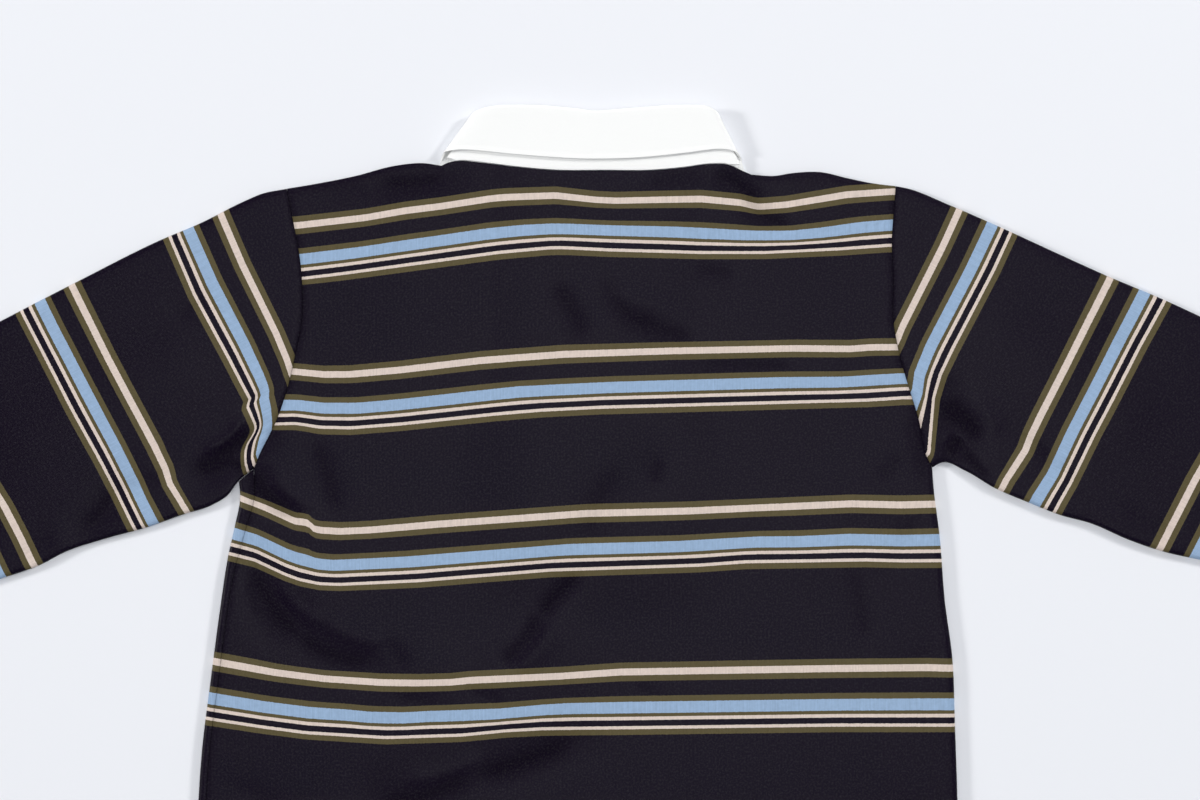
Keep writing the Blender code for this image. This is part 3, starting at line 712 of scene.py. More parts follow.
def underarm_hook(half_height, quarter_height):
    """The front's top edge by the left underarm, from the end of the back armhole to the notch."""
    start, end = np.array(ARMHOLE_LEFT[-1], float), np.array(NOTCH_LEFT, float)
    way = (end - start) / np.hypot(*(end - start))
    insets = [rolled_edge(angle, 0, 0)[0] for angle in HOOK_ANGLES]
    places = [start + way * SEAM] + [end - way * inset for inset in insets]
    heights = [float(top_height(*places[0])), float(top_height(*places[1])), quarter_height, half_height]
    return [(*place, height) for place, height in zip(places, heights)]


armhole_rows, side_rows = body_rows(FRONT_SCALE)
outline_left = along(SIDE_LEFT, np.r_[0, side_rows])
outline_right = along(SIDE_RIGHT, np.r_[0, side_rows])
seam_right = outline_right - (SEAM_INSET_UNDER + SEAM, 0)
left_edge = np.concatenate([along(ARMHOLE_LEFT, armhole_rows[:-1]), outline_left + (CURL, 0)])
left_edge[len(armhole_rows) - 1, 0] += UNDERARM_EASE
right_edge = np.concatenate([along(ARMHOLE_RIGHT, armhole_rows[:-1]), seam_right])
plan, rolled = body_plan(FRONT_NECK, left_edge, right_edge, FRONT_SCALE)
x, y = plan.transpose(2, 0, 1)
front_main = close_shoulders(plan, front_lift(x, y), top_height(x, y), rolled)
front_fold = []
for x, y in outline_left:
    top = float(top_height(x + CURL, y))
    seam = x + inset_at(y) - SEAM
    bend = [rolled_edge(angle, top, 0) for angle in FOLD_ANGLES]
    points = [(x + inset, y, z) for inset, z in bend]
    front_fold.append([(seam, y, float(top_height(seam, y)))] + points)
front_fold[0][:4] = underarm_hook(front_fold[0][3][2], front_fold[0][2][2])
front_fold[0][-1] = (*left_edge[len(armhole_rows) - 1], 0)
grid = Grid()
grid.add(front_main, body_cloth(front_main))
grid.add(front_fold, body_cloth(front_fold))
front_cloth = grid.finish("front_cloth", WALL)
print("front:", len(front_cloth.data.polygons), "faces")

# %% [markdown]
# A sleeve is one piece of jersey, sewn into a tube and laid flat. Every row of its grid is a closed ring:
# over the top from the upper fold to the lower one, and back underneath. The first ring follows the
# armhole, and the last one meets the cuff.

# %% Sleeves
SLEEVE_STEPS = 200
SLEEVE_ACROSS = 76
MOUTH_STEP = 0.01
SLEEVE_ROOM = 0.045


def sleeve(name, armhole, top_places, bottom_places, lines, ways, flip):
    """A flattened tube from the armhole to the cuff line."""
    mouth_width = length_of(armhole)
    insets = [(rolled_edge(angle, 0, 0)[0], angle) for angle in ROLL_ANGLES[1:]]
    shares = np.arange(1, SLEEVE_ACROSS) / SLEEVE_ACROSS
    shares = shares[(shares > SLEEVE_ROOM) & (shares < 1 - SLEEVE_ROOM)]
    cuff_top, cuff_bottom = np.array(top_places[-1], float), np.array(bottom_places[-1], float)
    notch = length_of(bottom_places[:2]) / length_of(bottom_places)
    rows = []
    for step in np.unique(np.r_[0, notch, np.arange(1, SLEEVE_STEPS + 1) / SLEEVE_STEPS]):
        edge_top, edge_bottom = along(top_places, [step])[0], along(bottom_places, [step])[0]
        width = mouth_width if step == 0 else float(np.hypot(*(edge_top - edge_bottom)))
        over = [(0, 0)] + [(inset / width, angle) for inset, angle in insets] + [(t, 90) for t in shares]
        over += [(1 - inset / width, angle) for inset, angle in reversed(insets)] + [(1, 0)]
        ring = over + [(t, -angle) for t, angle in reversed(over[1:-1])] + [(0, 0)]
        t, angle = np.array(ring).T
        mouth = along(armhole, t)
        t = t[:, None]
        blend = (1 - step) * mouth + step * (cuff_top + t * (cuff_bottom - cuff_top))
        corners = (1 - t) * ((1 - step) * np.array(armhole[0]) + step * cuff_top)
        corners = corners + t * ((1 - step) * np.array(armhole[-1]) + step * cuff_bottom)
        plan = blend + (1 - t) * edge_top + t * edge_bottom - corners
        if step == 0:
            way = along(armhole, t[:, 0] + MOUTH_STEP) - along(armhole, t[:, 0] - MOUTH_STEP)
            away = np.stack([way[:, 1], -way[:, 0]], axis=1) * (1 if flip else -1)
            plan = mouth + SEAM * away / np.hypot(*away.T)[:, None]
        top = top_height(*plan.T)
        rows.append(with_height(plan, top / 2 + top / 2 * np.sin(np.radians(angle))))
    rows = np.array(rows)
    grid = Grid()
    grid.add(rows, cloth_place(rows, lines, ways), flip=flip)
    made = grid.finish(name, WALL)
    print(name + ":", len(made.data.polygons), "faces")
    return made


sleeve_left_cloth = sleeve("sleeve_left_cloth", ARMHOLE_LEFT, SLEEVE_LEFT_TOP, SLEEVE_LEFT_BOTTOM,
                           LEFT_LINES, DOWN_THE_LEFT, flip=True)
sleeve_right_cloth = sleeve("sleeve_right_cloth", ARMHOLE_RIGHT, SLEEVE_RIGHT_TOP, SLEEVE_RIGHT_BOTTOM,
                            RIGHT_LINES, DOWN_THE_RIGHT, flip=False)

# %% [markdown]
# The cuffs are rib knit, whose wales stand up as fine ridges along the arm. They are real relief on the
# top, and pressed flat where the cuff lies on the surface. The cuff also waves a little along the arm.

# %% Ribbed cuffs
CUFF_LENGTH = 65.0
CUFF_WIDTH = 88.0
CUFF_RIBS = 34
CUFF_RISE = 0.5
CUFF_STEPS = 16
CUFF_WAVE = 0.35
CUFF_WAVES = 1.5
RIB_POINTS = 4
RIB_POWER = 0.7
RIB_FOOT = 0.1


def cuff(name, top_places, bottom_places, flip):
    """A flattened tube of ribbed knit beyond the end of a sleeve."""
    high, low = np.array(top_places[-1], float), np.array(bottom_places[-1], float)
    across = (low - high) / np.hypot(*(low - high))
    outward = np.array((across[1], -across[0])) * (1 if flip else -1)
    start = (high + low) / 2 - across * CUFF_WIDTH / 2
    bend = CUFF_STACK / 2
    ribs = np.linspace(bend, CUFF_WIDTH - bend, RIB_POINTS * CUFF_RIBS + 1)
    ridges = np.abs(np.sin(np.arange(len(ribs)) * math.pi / RIB_POINTS))
    raised = CUFF_STACK + CUFF_RISE * ridges**RIB_POWER
    turns = np.radians(ROLL_ANGLES[:-1])
    near_edge = [(bend * (1 - math.cos(turn)), bend + bend * math.sin(turn)) for turn in turns]
    far_edge = [(CUFF_WIDTH - x, z) for x, z in reversed(near_edge)]
    under_far = [(x, CUFF_STACK - z) for x, z in reversed(far_edge[:-1])]
    plain = [(x, 0) for x in np.linspace(CUFF_WIDTH - bend, bend, CUFF_RIBS)]
    under_near = [(x, CUFF_STACK - z) for x, z in reversed(near_edge)]
    ring = near_edge + list(zip(ribs, raised)) + far_edge + under_far + plain + under_near
    rows, cloth = [], []
    walked = np.r_[0, np.cumsum(np.hypot(*np.diff(np.array(ring), axis=0).T))]
    for step in range(CUFF_STEPS + 1):
        share = step / CUFF_STEPS
        reach = SEAM + share * CUFF_LENGTH
        wave = CUFF_WAVE * math.sin(2 * CUFF_WAVES * math.pi * share) * (1 if flip else -1)
        edge = start + outward * reach
        rows.append([(*(edge + across * x), z + wave * (z > CUFF_STACK - RIB_FOOT)) for x, z in ring])
        cloth.append([(w * MM, reach * MM) for w in walked])
    grid = Grid()
    grid.add(rows, cloth, flip=flip)
    return grid.finish(name, WALL)


cuff_left_rib = cuff("cuff_left_rib", SLEEVE_LEFT_TOP, SLEEVE_LEFT_BOTTOM, flip=True)
cuff_right_rib = cuff("cuff_right_rib", SLEEVE_RIGHT_TOP, SLEEVE_RIGHT_BOTTOM, flip=False)
print("cuffs:", len(cuff_left_rib.data.polygons), "faces each")

# %% [markdown]
# The collar is woven cotton twill, stiffer than the jersey. It stands up from the neck seam, folds over and
# falls back, so from behind the fall covers all but a narrow band of the stand. Its front ends spread out
# underneath. One table gives the neck seam, the fold and the free edge at rows from end to end.

# %% Collar

# columns: layer (1 on top, -1 underneath), neck seam x, y, fold x, y, free edge x, y
COLLAR = (
    (-1.0, -17, 258, -16, 286, -62, 222),
    (-1.0, -48, 265, -40, 298, -98, 244),
    (-1.0, -84, 291, -70, 322, -121, 282),
    (-1.0, -105, 319, -84, 350, -122, 317),
    (-1.0, -107.5, 331, -87, 363, -118.5, 337),
    (-0.7, -110, 337.5, -90, 370, -117, 341),
    (0.0, -112, 341, -91.5, 374.5, -115.5, 344),
    (0.7, -110.5, 342, -89, 378, -112.5, 347),
    (1.0, -98, 338.6, -74, 381.6, -97, 348.5),
    (1.0, -62, 335.6, -44, 382, -62, 345.2),
    (1.0, -25, 332.6, -14, 379.5, -25, 342.3),
    (1.0, 5, 332.6, 5, 377.5, 3, 341.3),
    (1.0, 38, 332.6, 32, 379.5, 38, 342.3),
    (1.0, 72, 334.6, 62, 381.6, 72, 345.6),
    (1.0, 102, 337, 88, 381.8, 100, 349),
    (0.7, 115.5, 337, 97.5, 378.5, 112.5, 347.5),
    (0.0, 117.5, 336.5, 100, 375, 117, 344),
    (-0.7, 116, 332.5, 99, 370, 119, 341),
    (-1.0, 114.5, 326, 97, 361, 120.5, 337),
    (-1.0, 110, 311, 95, 345, 128, 312),
    (-1.0, 94, 287, 80, 317, 129, 278),
    (-1.0, 57, 265, 50, 297, 107, 242),
    (-1.0, 24, 257.5, 24, 285, 72, 220),
)
NECK_GAP = 0.8
COLLAR_MIDDLE = 4.85
STAND_RISE = 1.3
FALL_RISE = 4.1
COLLAR_LIFT = 2.2
FALL_EASE = 0.7
EDGE_LIFT = 0.25
COLLAR_ROWS = 5
STAND_STEPS = 14
FALL_STEPS = 18
FOLD_TURNS = (22.5, 45, 67.5, 90, 112.5, 135, 157.5)
EDGE_RIM = 2.4
EDGE_RIM_RISE = 0.28
RIM_STEPS = (1.5, 1.0, 0.5, 0.0)
RIM_START = 1.6
RIM_ROOM = 2
ON_TOP = 0.95


def collar():
    """Stand and fall in one folded wall, with a slightly thicker rim along the free edge."""
    neck = body_top(BACK_NECK)[0]
    steps = np.linspace(0, 1, COLLAR_ROWS * (len(COLLAR) - 1) + 1)
    rows = []
    for layer, neck_x, neck_y, fold_x, fold_y, edge_x, edge_y in along(COLLAR, steps, even=True):
        layer = float(np.clip(layer, -1, 1))
        if layer > ON_TOP:
            neck_y = float(np.interp(neck_x, neck[:, 0], neck[:, 1])) + NECK_GAP
        side = math.copysign(math.sqrt(1 - layer**2), neck_x)
        fall_rise = FALL_RISE - FALL_EASE * max(layer, 0)
        half = (fall_rise - STAND_RISE) / 2
        lift = COLLAR_LIFT * max(layer, 0)
        seam = np.array((neck_x, neck_y, COLLAR_MIDDLE + layer * STAND_RISE))
        fold = np.array((fold_x, fold_y, COLLAR_MIDDLE + layer * (STAND_RISE + half) + lift))
        edge = np.array((edge_x, edge_y, COLLAR_MIDDLE + layer * fall_rise + lift * EDGE_LIFT))
        normal = half * np.array((side, 0, layer))
        onward = np.array((fold_x - neck_x, fold_y - neck_y, 0))
        onward = half * onward / np.linalg.norm(onward)
        stand_top, fall_top = fold - normal, fold + normal
        row = [seam + (stand_top - seam) * part for part in np.arange(STAND_STEPS + 1) / STAND_STEPS]
        for angle in FOLD_TURNS:
            turn = math.radians(angle)
            row.append(fold - normal * math.cos(turn) + onward * math.sin(turn))
        fall = float(np.linalg.norm(edge - fall_top))
        inner = np.arange(FALL_STEPS + 1) / FALL_STEPS * (1 - RIM_ROOM * EDGE_RIM / fall)
        rim = 1 - np.array(RIM_STEPS) * EDGE_RIM / fall
        outward = normal / np.linalg.norm(normal)
        for part in np.r_[inner, rim]:
            raised = EDGE_RIM_RISE * smooth_step((part - 1) * fall / EDGE_RIM + RIM_START)
            row.append(fall_top + (edge - fall_top) * part + outward * raised)
        rows.append(row)
    rows = np.array(rows)
    across = np.linalg.norm(np.diff(rows, axis=1), axis=2).cumsum(axis=1)
    across = np.concatenate([np.zeros((len(rows), 1)), across], axis=1)
    middle = rows[:, STAND_STEPS]
    reach = np.r_[0, np.linalg.norm(np.diff(middle, axis=0), axis=1).cumsum()]
    cloth = np.stack([np.repeat(reach[:, None], rows.shape[1], axis=1), across], axis=-1) * MM
    grid = Grid()
    grid.add(rows, cloth)
    return grid.finish("collar_cloth", COLLAR_WALL, offset=0)


collar_cloth = collar()
print("collar:", len(collar_cloth.data.polygons), "faces")

# %% [markdown]
# The placket and its buttons are on the front, so they face the surface and only show from below. The
# placket is a band of the same jersey. A button is turned: a flat disc with a raised rim, a shallow dish and
# four holes, each ring of the grid being a circle.

# %% Placket and buttons
PLACKET_STEPS = (12, 56)
PLACKET_TURNS = (-90, -45, 0, 45, 90)
BUTTON = {"count": 3, "first": 20.0, "spacing": 55.0, "radius": 5.75, "thickness": 2.0, "lift": 0.02}
# Sizes in mm. The dish and the rounded rim start at shares of the way out to the rim
DISH, DISH_FROM, DISH_RAMP = 0.5, 0.55, 0.2
ROUNDING, ROUND_FROM = 0.55, 0.86
HOLE, HOLE_PLACE, HOLE_DEPTH, HOLE_POWER = 0.75, 1.45, 0.6, 4
BACK_DEPTH = 0.7
RING_POWER = 0.9
BUTTON_SIDES = 72
BUTTON_RINGS = 30


def placket():
    """A closed band with rounded long edges."""
    half, top = PLACKET["width"] / 2, PLACKET["top"]
    floor, thick = PLACKET["floor"], WALL
    corner = thick / 2
    turns = np.radians(PLACKET_TURNS)
    right = [(half - corner + corner * math.cos(t), floor + corner + corner * math.sin(t)) for t in turns]
    left = [(-x, z) for x, z in reversed(right)]
    across = np.linspace(half - corner, corner - half, PLACKET_STEPS[0])[1:-1]
    upper = [(x, floor + thick) for x in across]
    lower = [(-x, floor) for x in across]
    ring = right + upper + left + lower + right[:1]
    rows = []
    for y in np.linspace(top - PLACKET["length"], top, PLACKET_STEPS[1]):
        rows.append([(PLACKET["x"] + x, y, z) for x, z in ring])
    rows = np.array(rows)
    middle = rows.mean(axis=1, keepdims=True)
    caps = [np.stack([rows[end], np.repeat(middle[end], len(ring), axis=0)]) for end in (0, -1)]
    grid = Grid()
    for places, flip in ((rows, True), (caps[0], False), (caps[1], True)):
        grid.add(places, body_cloth(places), flip=flip)
    return grid.finish("placket_cloth", 0)


def button(number):
    """A four-hole button, its face down: rings out over the face, then rings in over the back."""
    radius, thick, lift = BUTTON["radius"], BUTTON["thickness"], BUTTON["lift"]
    turns = np.linspace(0, 2 * math.pi, BUTTON_SIDES + 1)
    middle_y = PLACKET["top"] - BUTTON["first"] - number * BUTTON["spacing"]
    holes = [(HOLE_PLACE * sx, HOLE_PLACE * sy) for sx in (-1, 1) for sy in (-1, 1)]
    shares = np.linspace(0, 1, BUTTON_RINGS)
    rows = []
    for share, on_face in [(share, True) for share in shares] + [(share, False) for share in shares[::-1]]:
        r = radius * math.sin(share * math.pi / 2) ** RING_POWER
        px, py = r * np.cos(turns), r * np.sin(turns)
        pit = sum(np.exp(-((np.hypot(px - hx, py - hy) / HOLE) ** HOLE_POWER)) for hx, hy in holes)
        rounding = ROUNDING * smooth_step((share - ROUND_FROM) / (1 - ROUND_FROM)) ** 2
        dish = DISH * (1 - smooth_step((r / radius - DISH_FROM) / DISH_RAMP)) * on_face
        depth = dish + pit * HOLE_DEPTH + rounding
        height = lift + (depth if on_face else thick - depth * BACK_DEPTH)
        rows.append(np.stack([PLACKET["x"] + px, middle_y + py, height + 0 * px], axis=-1))
    rows = np.array(rows)
    grid = Grid()
    grid.add(rows, rows[..., :2] * MM)
    return grid.finish(f"button_{number + 1}_turned", 0)


placket_cloth = placket()
buttons = [button(number) for number in range(BUTTON["count"])]
print("button:", len(buttons[0].data.polygons), "faces")

# %% [markdown]
# Sewing shows as rows of small stitches. Each stitch is a stretched sphere laid on the cloth, one after the
# other along its line: two rows along the back's hem, and four on the placket, down both of its edges and
# twice across its lower end.

# %% Stitches
STITCH_PITCH = 3.0
STITCH_LENGTH = 2.3
STITCH_WIDTH = 0.5
STITCH_SIDES = 6
STITCH_RINGS = 4
STITCH_SINK = 0.05
HEM_ROWS = (20.0, 24.5)
HEM_STATIONS = np.linspace(-300, 284, 120)
PLACKET_INSET = 2.0
PLACKET_BOX = 14.0


def stitches(name, paths):
    """Rows of stitches, each row following a path of places with heights."""
    mesh = bmesh.new()
    for path in paths:
        path = np.array(path, float)
        steps = np.linalg.norm(np.diff(path, axis=0), axis=1)
        reach = np.r_[0, np.cumsum(steps)]
        for walked in np.arange(STITCH_PITCH / 2, reach[-1], STITCH_PITCH):
            place = np.array([np.interp(walked, reach, axis) for axis in path.T])
            ahead, behind = (np.array([np.interp(walked + step, reach, axis) for axis in path.T])
                             for step in (1, -1))
            way = ahead - behind
            turn = math.atan2(way[1], way[0])
            made = bmesh.ops.create_uvsphere(
                mesh, u_segments=STITCH_SIDES, v_segments=STITCH_RINGS, radius=0.5)["verts"]
            bmesh.ops.scale(mesh, vec=(STITCH_LENGTH * MM, STITCH_WIDTH * MM, STITCH_WIDTH * MM), verts=made)
            for vertex in made:
                x, y, z = vertex.co
                vertex.co = (x * math.cos(turn) - y * math.sin(turn), x * math.sin(turn) + y * math.cos(turn),
                             z)
            bmesh.ops.translate(mesh, vec=(place + SHIFT) * MM, verts=made)
    piece = to_object(mesh, name)
    piece.data.shade_smooth()
    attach(piece, "root")
    return piece


hem_paths = []
for rise in HEM_ROWS:
    hem_y = np.full(len(HEM_STATIONS), HEM_Y + rise)
    height = top_height(HEM_STATIONS, hem_y) + STITCH_SINK
    hem_paths.append(np.stack([HEM_STATIONS, hem_y, height], axis=-1))
hem_stitches = stitches("hem_stitches", hem_paths)
inset = PLACKET["width"] / 2 - PLACKET_INSET
left, right = PLACKET["x"] - inset, PLACKET["x"] + inset
bottom, top = PLACKET["top"] - PLACKET["length"] + PLACKET_INSET, PLACKET["top"] - PLACKET_INSET
floor = PLACKET["floor"] - STITCH_SINK
placket_stitches = stitches("placket_stitches", [
    [(left, bottom, floor), (left, top, floor)],
    [(right, bottom, floor), (right, top, floor)],
    [(left, bottom, floor), (right, bottom, floor)],
    [(left, bottom + PLACKET_BOX, floor), (right, bottom + PLACKET_BOX, floor)],
])
rows_made = hem_stitches.data.polygons, placket_stitches.data.polygons
print("stitches:", sum(len(faces) // (STITCH_SIDES * STITCH_RINGS) for faces in rows_made))

# %% [markdown]
# Shader nodes are wired by hand in Blender, and by a few short helpers here. One sets an input or links an
# output to it, the others make a node, a sum, or an empty node group with its sockets.

# %% Helpers for node groups


def link_in(tree, socket, value):
    """Sets an input to a number or colour, or links an output to it."""
    if isinstance(value, bpy.types.NodeSocket):
        tree.links.new(value, socket)
    else:
        socket.default_value = value


def add_node(tree, kind, settings=None, **inputs):
    """A node with its properties and its inputs, by name. A number as a name, such as i1, is an index."""
    made = tree.nodes.new(kind)
    for key, value in (settings or {}).items():
        setattr(made, key, value)
    for key, value in inputs.items():
        index = int(key[1:]) if key[0] == "i" and key[1:].isdigit() else key.replace("_", " ")
        link_in(tree, made.inputs[index], value)
    return made


def maths(tree, operation, *values):
    made = add_node(tree, "ShaderNodeMath", {"operation": operation})
    for socket, value in zip(made.inputs, values):
        link_in(tree, socket, value)
    return made.outputs[0]


def weighed(tree, *pairs, plus=None):
    """The sum of a plain number and of outputs, each times its own factor."""
    total = plus
    for output, factor in pairs:
        term = maths(tree, "MULTIPLY", output, factor)
        total = term if total is None else maths(tree, "ADD", total, term)
    return total


def new_group(name, inputs, outputs):
    """An empty node group with its sockets: (name, socket type) pairs."""
    group = bpy.data.node_groups.new(name, "ShaderNodeTree")
    for side, sockets in (("INPUT", inputs), ("OUTPUT", outputs)):
        for socket_name, kind in sockets:
            group.interface.new_socket(socket_name, in_out=side, socket_type=kind)
    return group, group.nodes.new("NodeGroupInput"), group.nodes.new("NodeGroupOutput")


print("helpers ready")

# %% [markdown]
# Now the cloth itself. Close up, jersey is columns of tiny stitches, about a millimetre apart. A node group
# turns the UV map into that relief and into small differences of shade, so that every piece of jersey
# can share it. Yarn is never perfectly even, so the shade has faint streaks along the columns.

# %% Knit relief
WALE = 0.0011
COURSE = 0.0009
KNIT_DEPTH = 0.00006
KNIT_STRENGTH = 0.8
STREAK_ALONG = 45.0
STREAK_ACROSS = 900.0
MOTTLE_GRAINS = 260.0
# The weights of the wales, the courses and the mottle in the relief
RELIEF_WEIGHTS = (0.7, 0.15, 1.6)
# The shade of plain cloth, and the weights of the streaks, the mottle and the wales in it
SHADE_BASE = 0.60
SHADE_WEIGHTS = (0.34, 0.30, 0.10)
FUZZ_GRAINS = 620.0
FUZZ_LEVEL = 0.0013
FUZZ_SPREAD = 0.046


def knit_group():
    """Relief, shade and loose fibres of plain knitting from cloth coordinates in metres."""
    group, start, end = new_group("knit", [("Cloth", "NodeSocketVector")],
                                  [("Normal", "NodeSocketVector"), ("Shade", "NodeSocketFloat"),
                                   ("Fuzz", "NodeSocketFloat")])
    parts = add_node(group, "ShaderNodeSeparateXYZ", Vector=start.outputs["Cloth"])
    wale = maths(group, "ABSOLUTE", maths(group, "SINE", maths(group, "MULTIPLY", parts.outputs[0],
                                                               math.pi / WALE)))
    course = maths(group, "SINE", maths(group, "MULTIPLY", parts.outputs[1], 2 * math.pi / COURSE))
    stretch = add_node(group, "ShaderNodeVectorMath", {"operation": "MULTIPLY"},
                       i0=start.outputs["Cloth"], i1=(STREAK_ACROSS, STREAK_ALONG, 1))
    streaks = add_node(group, "ShaderNodeTexNoise", Vector=stretch.outputs[0], Scale=1.0, Detail=2.0,
                       Roughness=0.6)
    mottle = add_node(group, "ShaderNodeTexNoise", Vector=start.outputs["Cloth"], Scale=MOTTLE_GRAINS,
                      Detail=3.0, Roughness=0.7)
    height = weighed(group, *zip((wale, course, mottle.outputs[0]), RELIEF_WEIGHTS))
    relief = add_node(group, "ShaderNodeBump", Height=height, Distance=KNIT_DEPTH, Strength=KNIT_STRENGTH)
    shade = weighed(group, *zip((streaks.outputs[0], mottle.outputs[0], wale), SHADE_WEIGHTS),
                    plus=SHADE_BASE)
    grains = add_node(group, "ShaderNodeTexNoise", Vector=start.outputs["Cloth"], Scale=FUZZ_GRAINS,
                      Detail=2.0, Roughness=0.7)
    fuzz = (maths(group, "SUBTRACT", grains.outputs[0], 0.5), FUZZ_SPREAD)
    fuzz = maths(group, "MAXIMUM", weighed(group, fuzz, plus=FUZZ_LEVEL), 0.0)
    for name, output in (("Normal", relief.outputs[0]), ("Shade", shade), ("Fuzz", fuzz)):
        group.links.new(output, end.inputs[name])
    return group


KNIT = knit_group()
print("wales per 100 mm:", round(0.1 / WALE))

# %% [markdown]
# The stripes come from the second cloth coordinate. Its place in the 124 mm repeat picks a colour from a
# ramp with hard steps. A little noise moves the edges by a fraction of a stitch, as knitted edges are not
# ruled lines.

# %% Stripe colours
NAVY = (0.0027, 0.0002, 0.0070, 1)
OLIVE = (0.089, 0.071, 0.031, 1)
CREAM = (0.655, 0.550, 0.490, 1)
BLUE = (0.284, 0.400, 0.572, 1)

# columns: where the stripe starts, in mm from the top of its group, and its colour
STRIPES = (
    (0.0, OLIVE), (4.6, CREAM), (9.9, OLIVE), (14.5, NAVY), (26.1, OLIVE), (30.7, BLUE),
    (39.5, OLIVE), (42.2, CREAM), (44.9, NAVY), (49.5, CREAM), (51.9, OLIVE), (GROUP, NAVY),
)
RAMP_SPAN = 62.0
EDGE_NOISE = 0.0006
EDGE_GRAINS = 900.0


def stripe_group():
    """The colour of the stripes at cloth coordinates in metres."""
    group, start, end = new_group("stripes", [("Cloth", "NodeSocketVector")], [("Colour", "NodeSocketColor")])
    parts = add_node(group, "ShaderNodeSeparateXYZ", Vector=start.outputs["Cloth"])
    stitch = add_node(group, "ShaderNodeTexNoise", Vector=start.outputs["Cloth"], Scale=EDGE_GRAINS,
                      Detail=1.0)
    moved = maths(group, "MULTIPLY", maths(group, "SUBTRACT", stitch.outputs[0], 0.5), EDGE_NOISE)
    down = maths(group, "ADD", parts.outputs[1], moved)
    down = maths(group, "FLOORED_MODULO", down, PERIOD * MM)
    share = maths(group, "DIVIDE", down, RAMP_SPAN * MM)
    ramp = add_node(group, "ShaderNodeValToRGB", Fac=share)
    ramp.color_ramp.interpolation = "CONSTANT"
    stops = ramp.color_ramp.elements
    while len(stops) < len(STRIPES):
        stops.new(0.5)
    for stop, (place, colour) in zip(stops, STRIPES):
        stop.position = place / RAMP_SPAN
        stop.color = colour
    group.links.new(ramp.outputs[0], end.inputs["Colour"])
    return group


STRIPE = stripe_group()
print("stripes in a group:", len(STRIPES) - 1)

# %% [markdown]
# Every material starts from the same shader with its own roughness, specular level and sheen. A colour can
# then be multiplied by a shade, or have a faint grey added to it, as loose fibres do on dark cloth.

# %% Materials to start from

# columns: roughness, specular level, sheen
FINISHES = {
    "striped_jersey": (0.40, 0.084, 0.0),
    "rib_knit": (0.50, 0.10, 0.0),
    "collar_twill": (0.80, 0.30, 0.05),
    "thread": (0.70, 0.20, 0.0),
    "button_resin": (0.30, 0.50, 0.0),
    "pale_board": (0.90, 0.10, 0.0),
}
FINISH_SOCKETS = ("Roughness", "Specular IOR Level", "Sheen Weight")
# The inputs and the output that a Mix node uses for colours
MIX_FACTOR, MIX_A, MIX_B, MIX_RESULT = 0, 6, 7, 2


def material(name):
    """A material with its own numbers on its shader, its tree and that shader."""
    made = bpy.data.materials.new(name)
    made.use_nodes = True
    shader = made.node_tree.nodes["Principled BSDF"]
    for socket, number in zip(FINISH_SOCKETS, FINISHES[name]):
        shader.inputs[socket].default_value = number
    return made, made.node_tree, shader


def uv_map(tree, name):
    return add_node(tree, "ShaderNodeUVMap", {"uv_map": name}).outputs[0]


def mixed(tree, blend, colour, amount):
    """A colour with the same amount multiplied into, or added to, its red, green and blue."""
    mix = add_node(tree, "ShaderNodeMix", {"data_type": "RGBA", "blend_type": blend})
    mix.inputs[MIX_FACTOR].default_value = 1.0
    link_in(tree, mix.inputs[MIX_A], colour)
    grey = add_node(tree, "ShaderNodeCombineColor", Red=amount, Green=amount, Blue=amount)
    tree.links.new(grey.outputs[0], mix.inputs[MIX_B])
    return mix.outputs[MIX_RESULT]


def knitted(tree, shader, colour, painted_shade=None):
    """Gives a shader the knit's relief, and a colour with its shade, its loose fibres and any painted shade.
    """
    knit = add_node(tree, "ShaderNodeGroup", {"node_tree": KNIT}, Cloth=uv_map(tree, "cloth"))
    shade = knit.outputs["Shade"]
    # Painted shade: in folds and seams, a factor below 1 multiplies the shade of the colour.
    if painted_shade is not None:
        shade = maths(tree, "MULTIPLY", shade, painted_shade)
    tone = mixed(tree, "MULTIPLY", colour, shade)
    tree.links.new(mixed(tree, "ADD", tone, knit.outputs["Fuzz"]), shader.inputs["Base Color"])
    tree.links.new(knit.outputs["Normal"], shader.inputs["Normal"])


print("finishes:", ", ".join(FINISHES))

# %% [markdown]
# The jersey takes its colour from the stripes. Deep in a fold or a seam it is rougher, and shade is painted
# into its colour there. The rib is plain navy knit. The collar's twill is woven, so fine slanted lines cross
# it instead of columns of stitches.

# %% Jersey, rib and twill
# How much painted shade lowers the jersey's colour deep in folds and seams, and how rough the jersey gets
# there
PAINTED_HOLLOW_SHADE = 0.25
HOLLOW_ROUGHNESS = 0.85
TWILL_PITCH = 0.0009
TWILL_DEPTH = 0.00006
TWILL_STRENGTH = 0.6
TWILL_WEIGHTS = (0.3, 1.0)
YARN_GRAINS = 700.0
WHITE = (0.915, 0.915, 0.905, 1)

JERSEY, tree, shader = material("striped_jersey")
stripe = add_node(tree, "ShaderNodeGroup", {"node_tree": STRIPE}, Cloth=uv_map(tree, "cloth"))
hollow = add_node(tree, "ShaderNodeSeparateXYZ", Vector=uv_map(tree, "hollow")).outputs[0]
# Painted shade: the colour is multiplied by down to 0.75 where the hollow map is deepest.
knitted(tree, shader, stripe.outputs["Colour"], weighed(tree, (hollow, -PAINTED_HOLLOW_SHADE), plus=1.0))
plain = FINISHES["striped_jersey"][0]
rough = weighed(tree, (hollow, HOLLOW_ROUGHNESS - plain), plus=plain)
tree.links.new(rough, shader.inputs["Roughness"])

RIB, tree, shader = material("rib_knit")
knitted(tree, shader, NAVY)

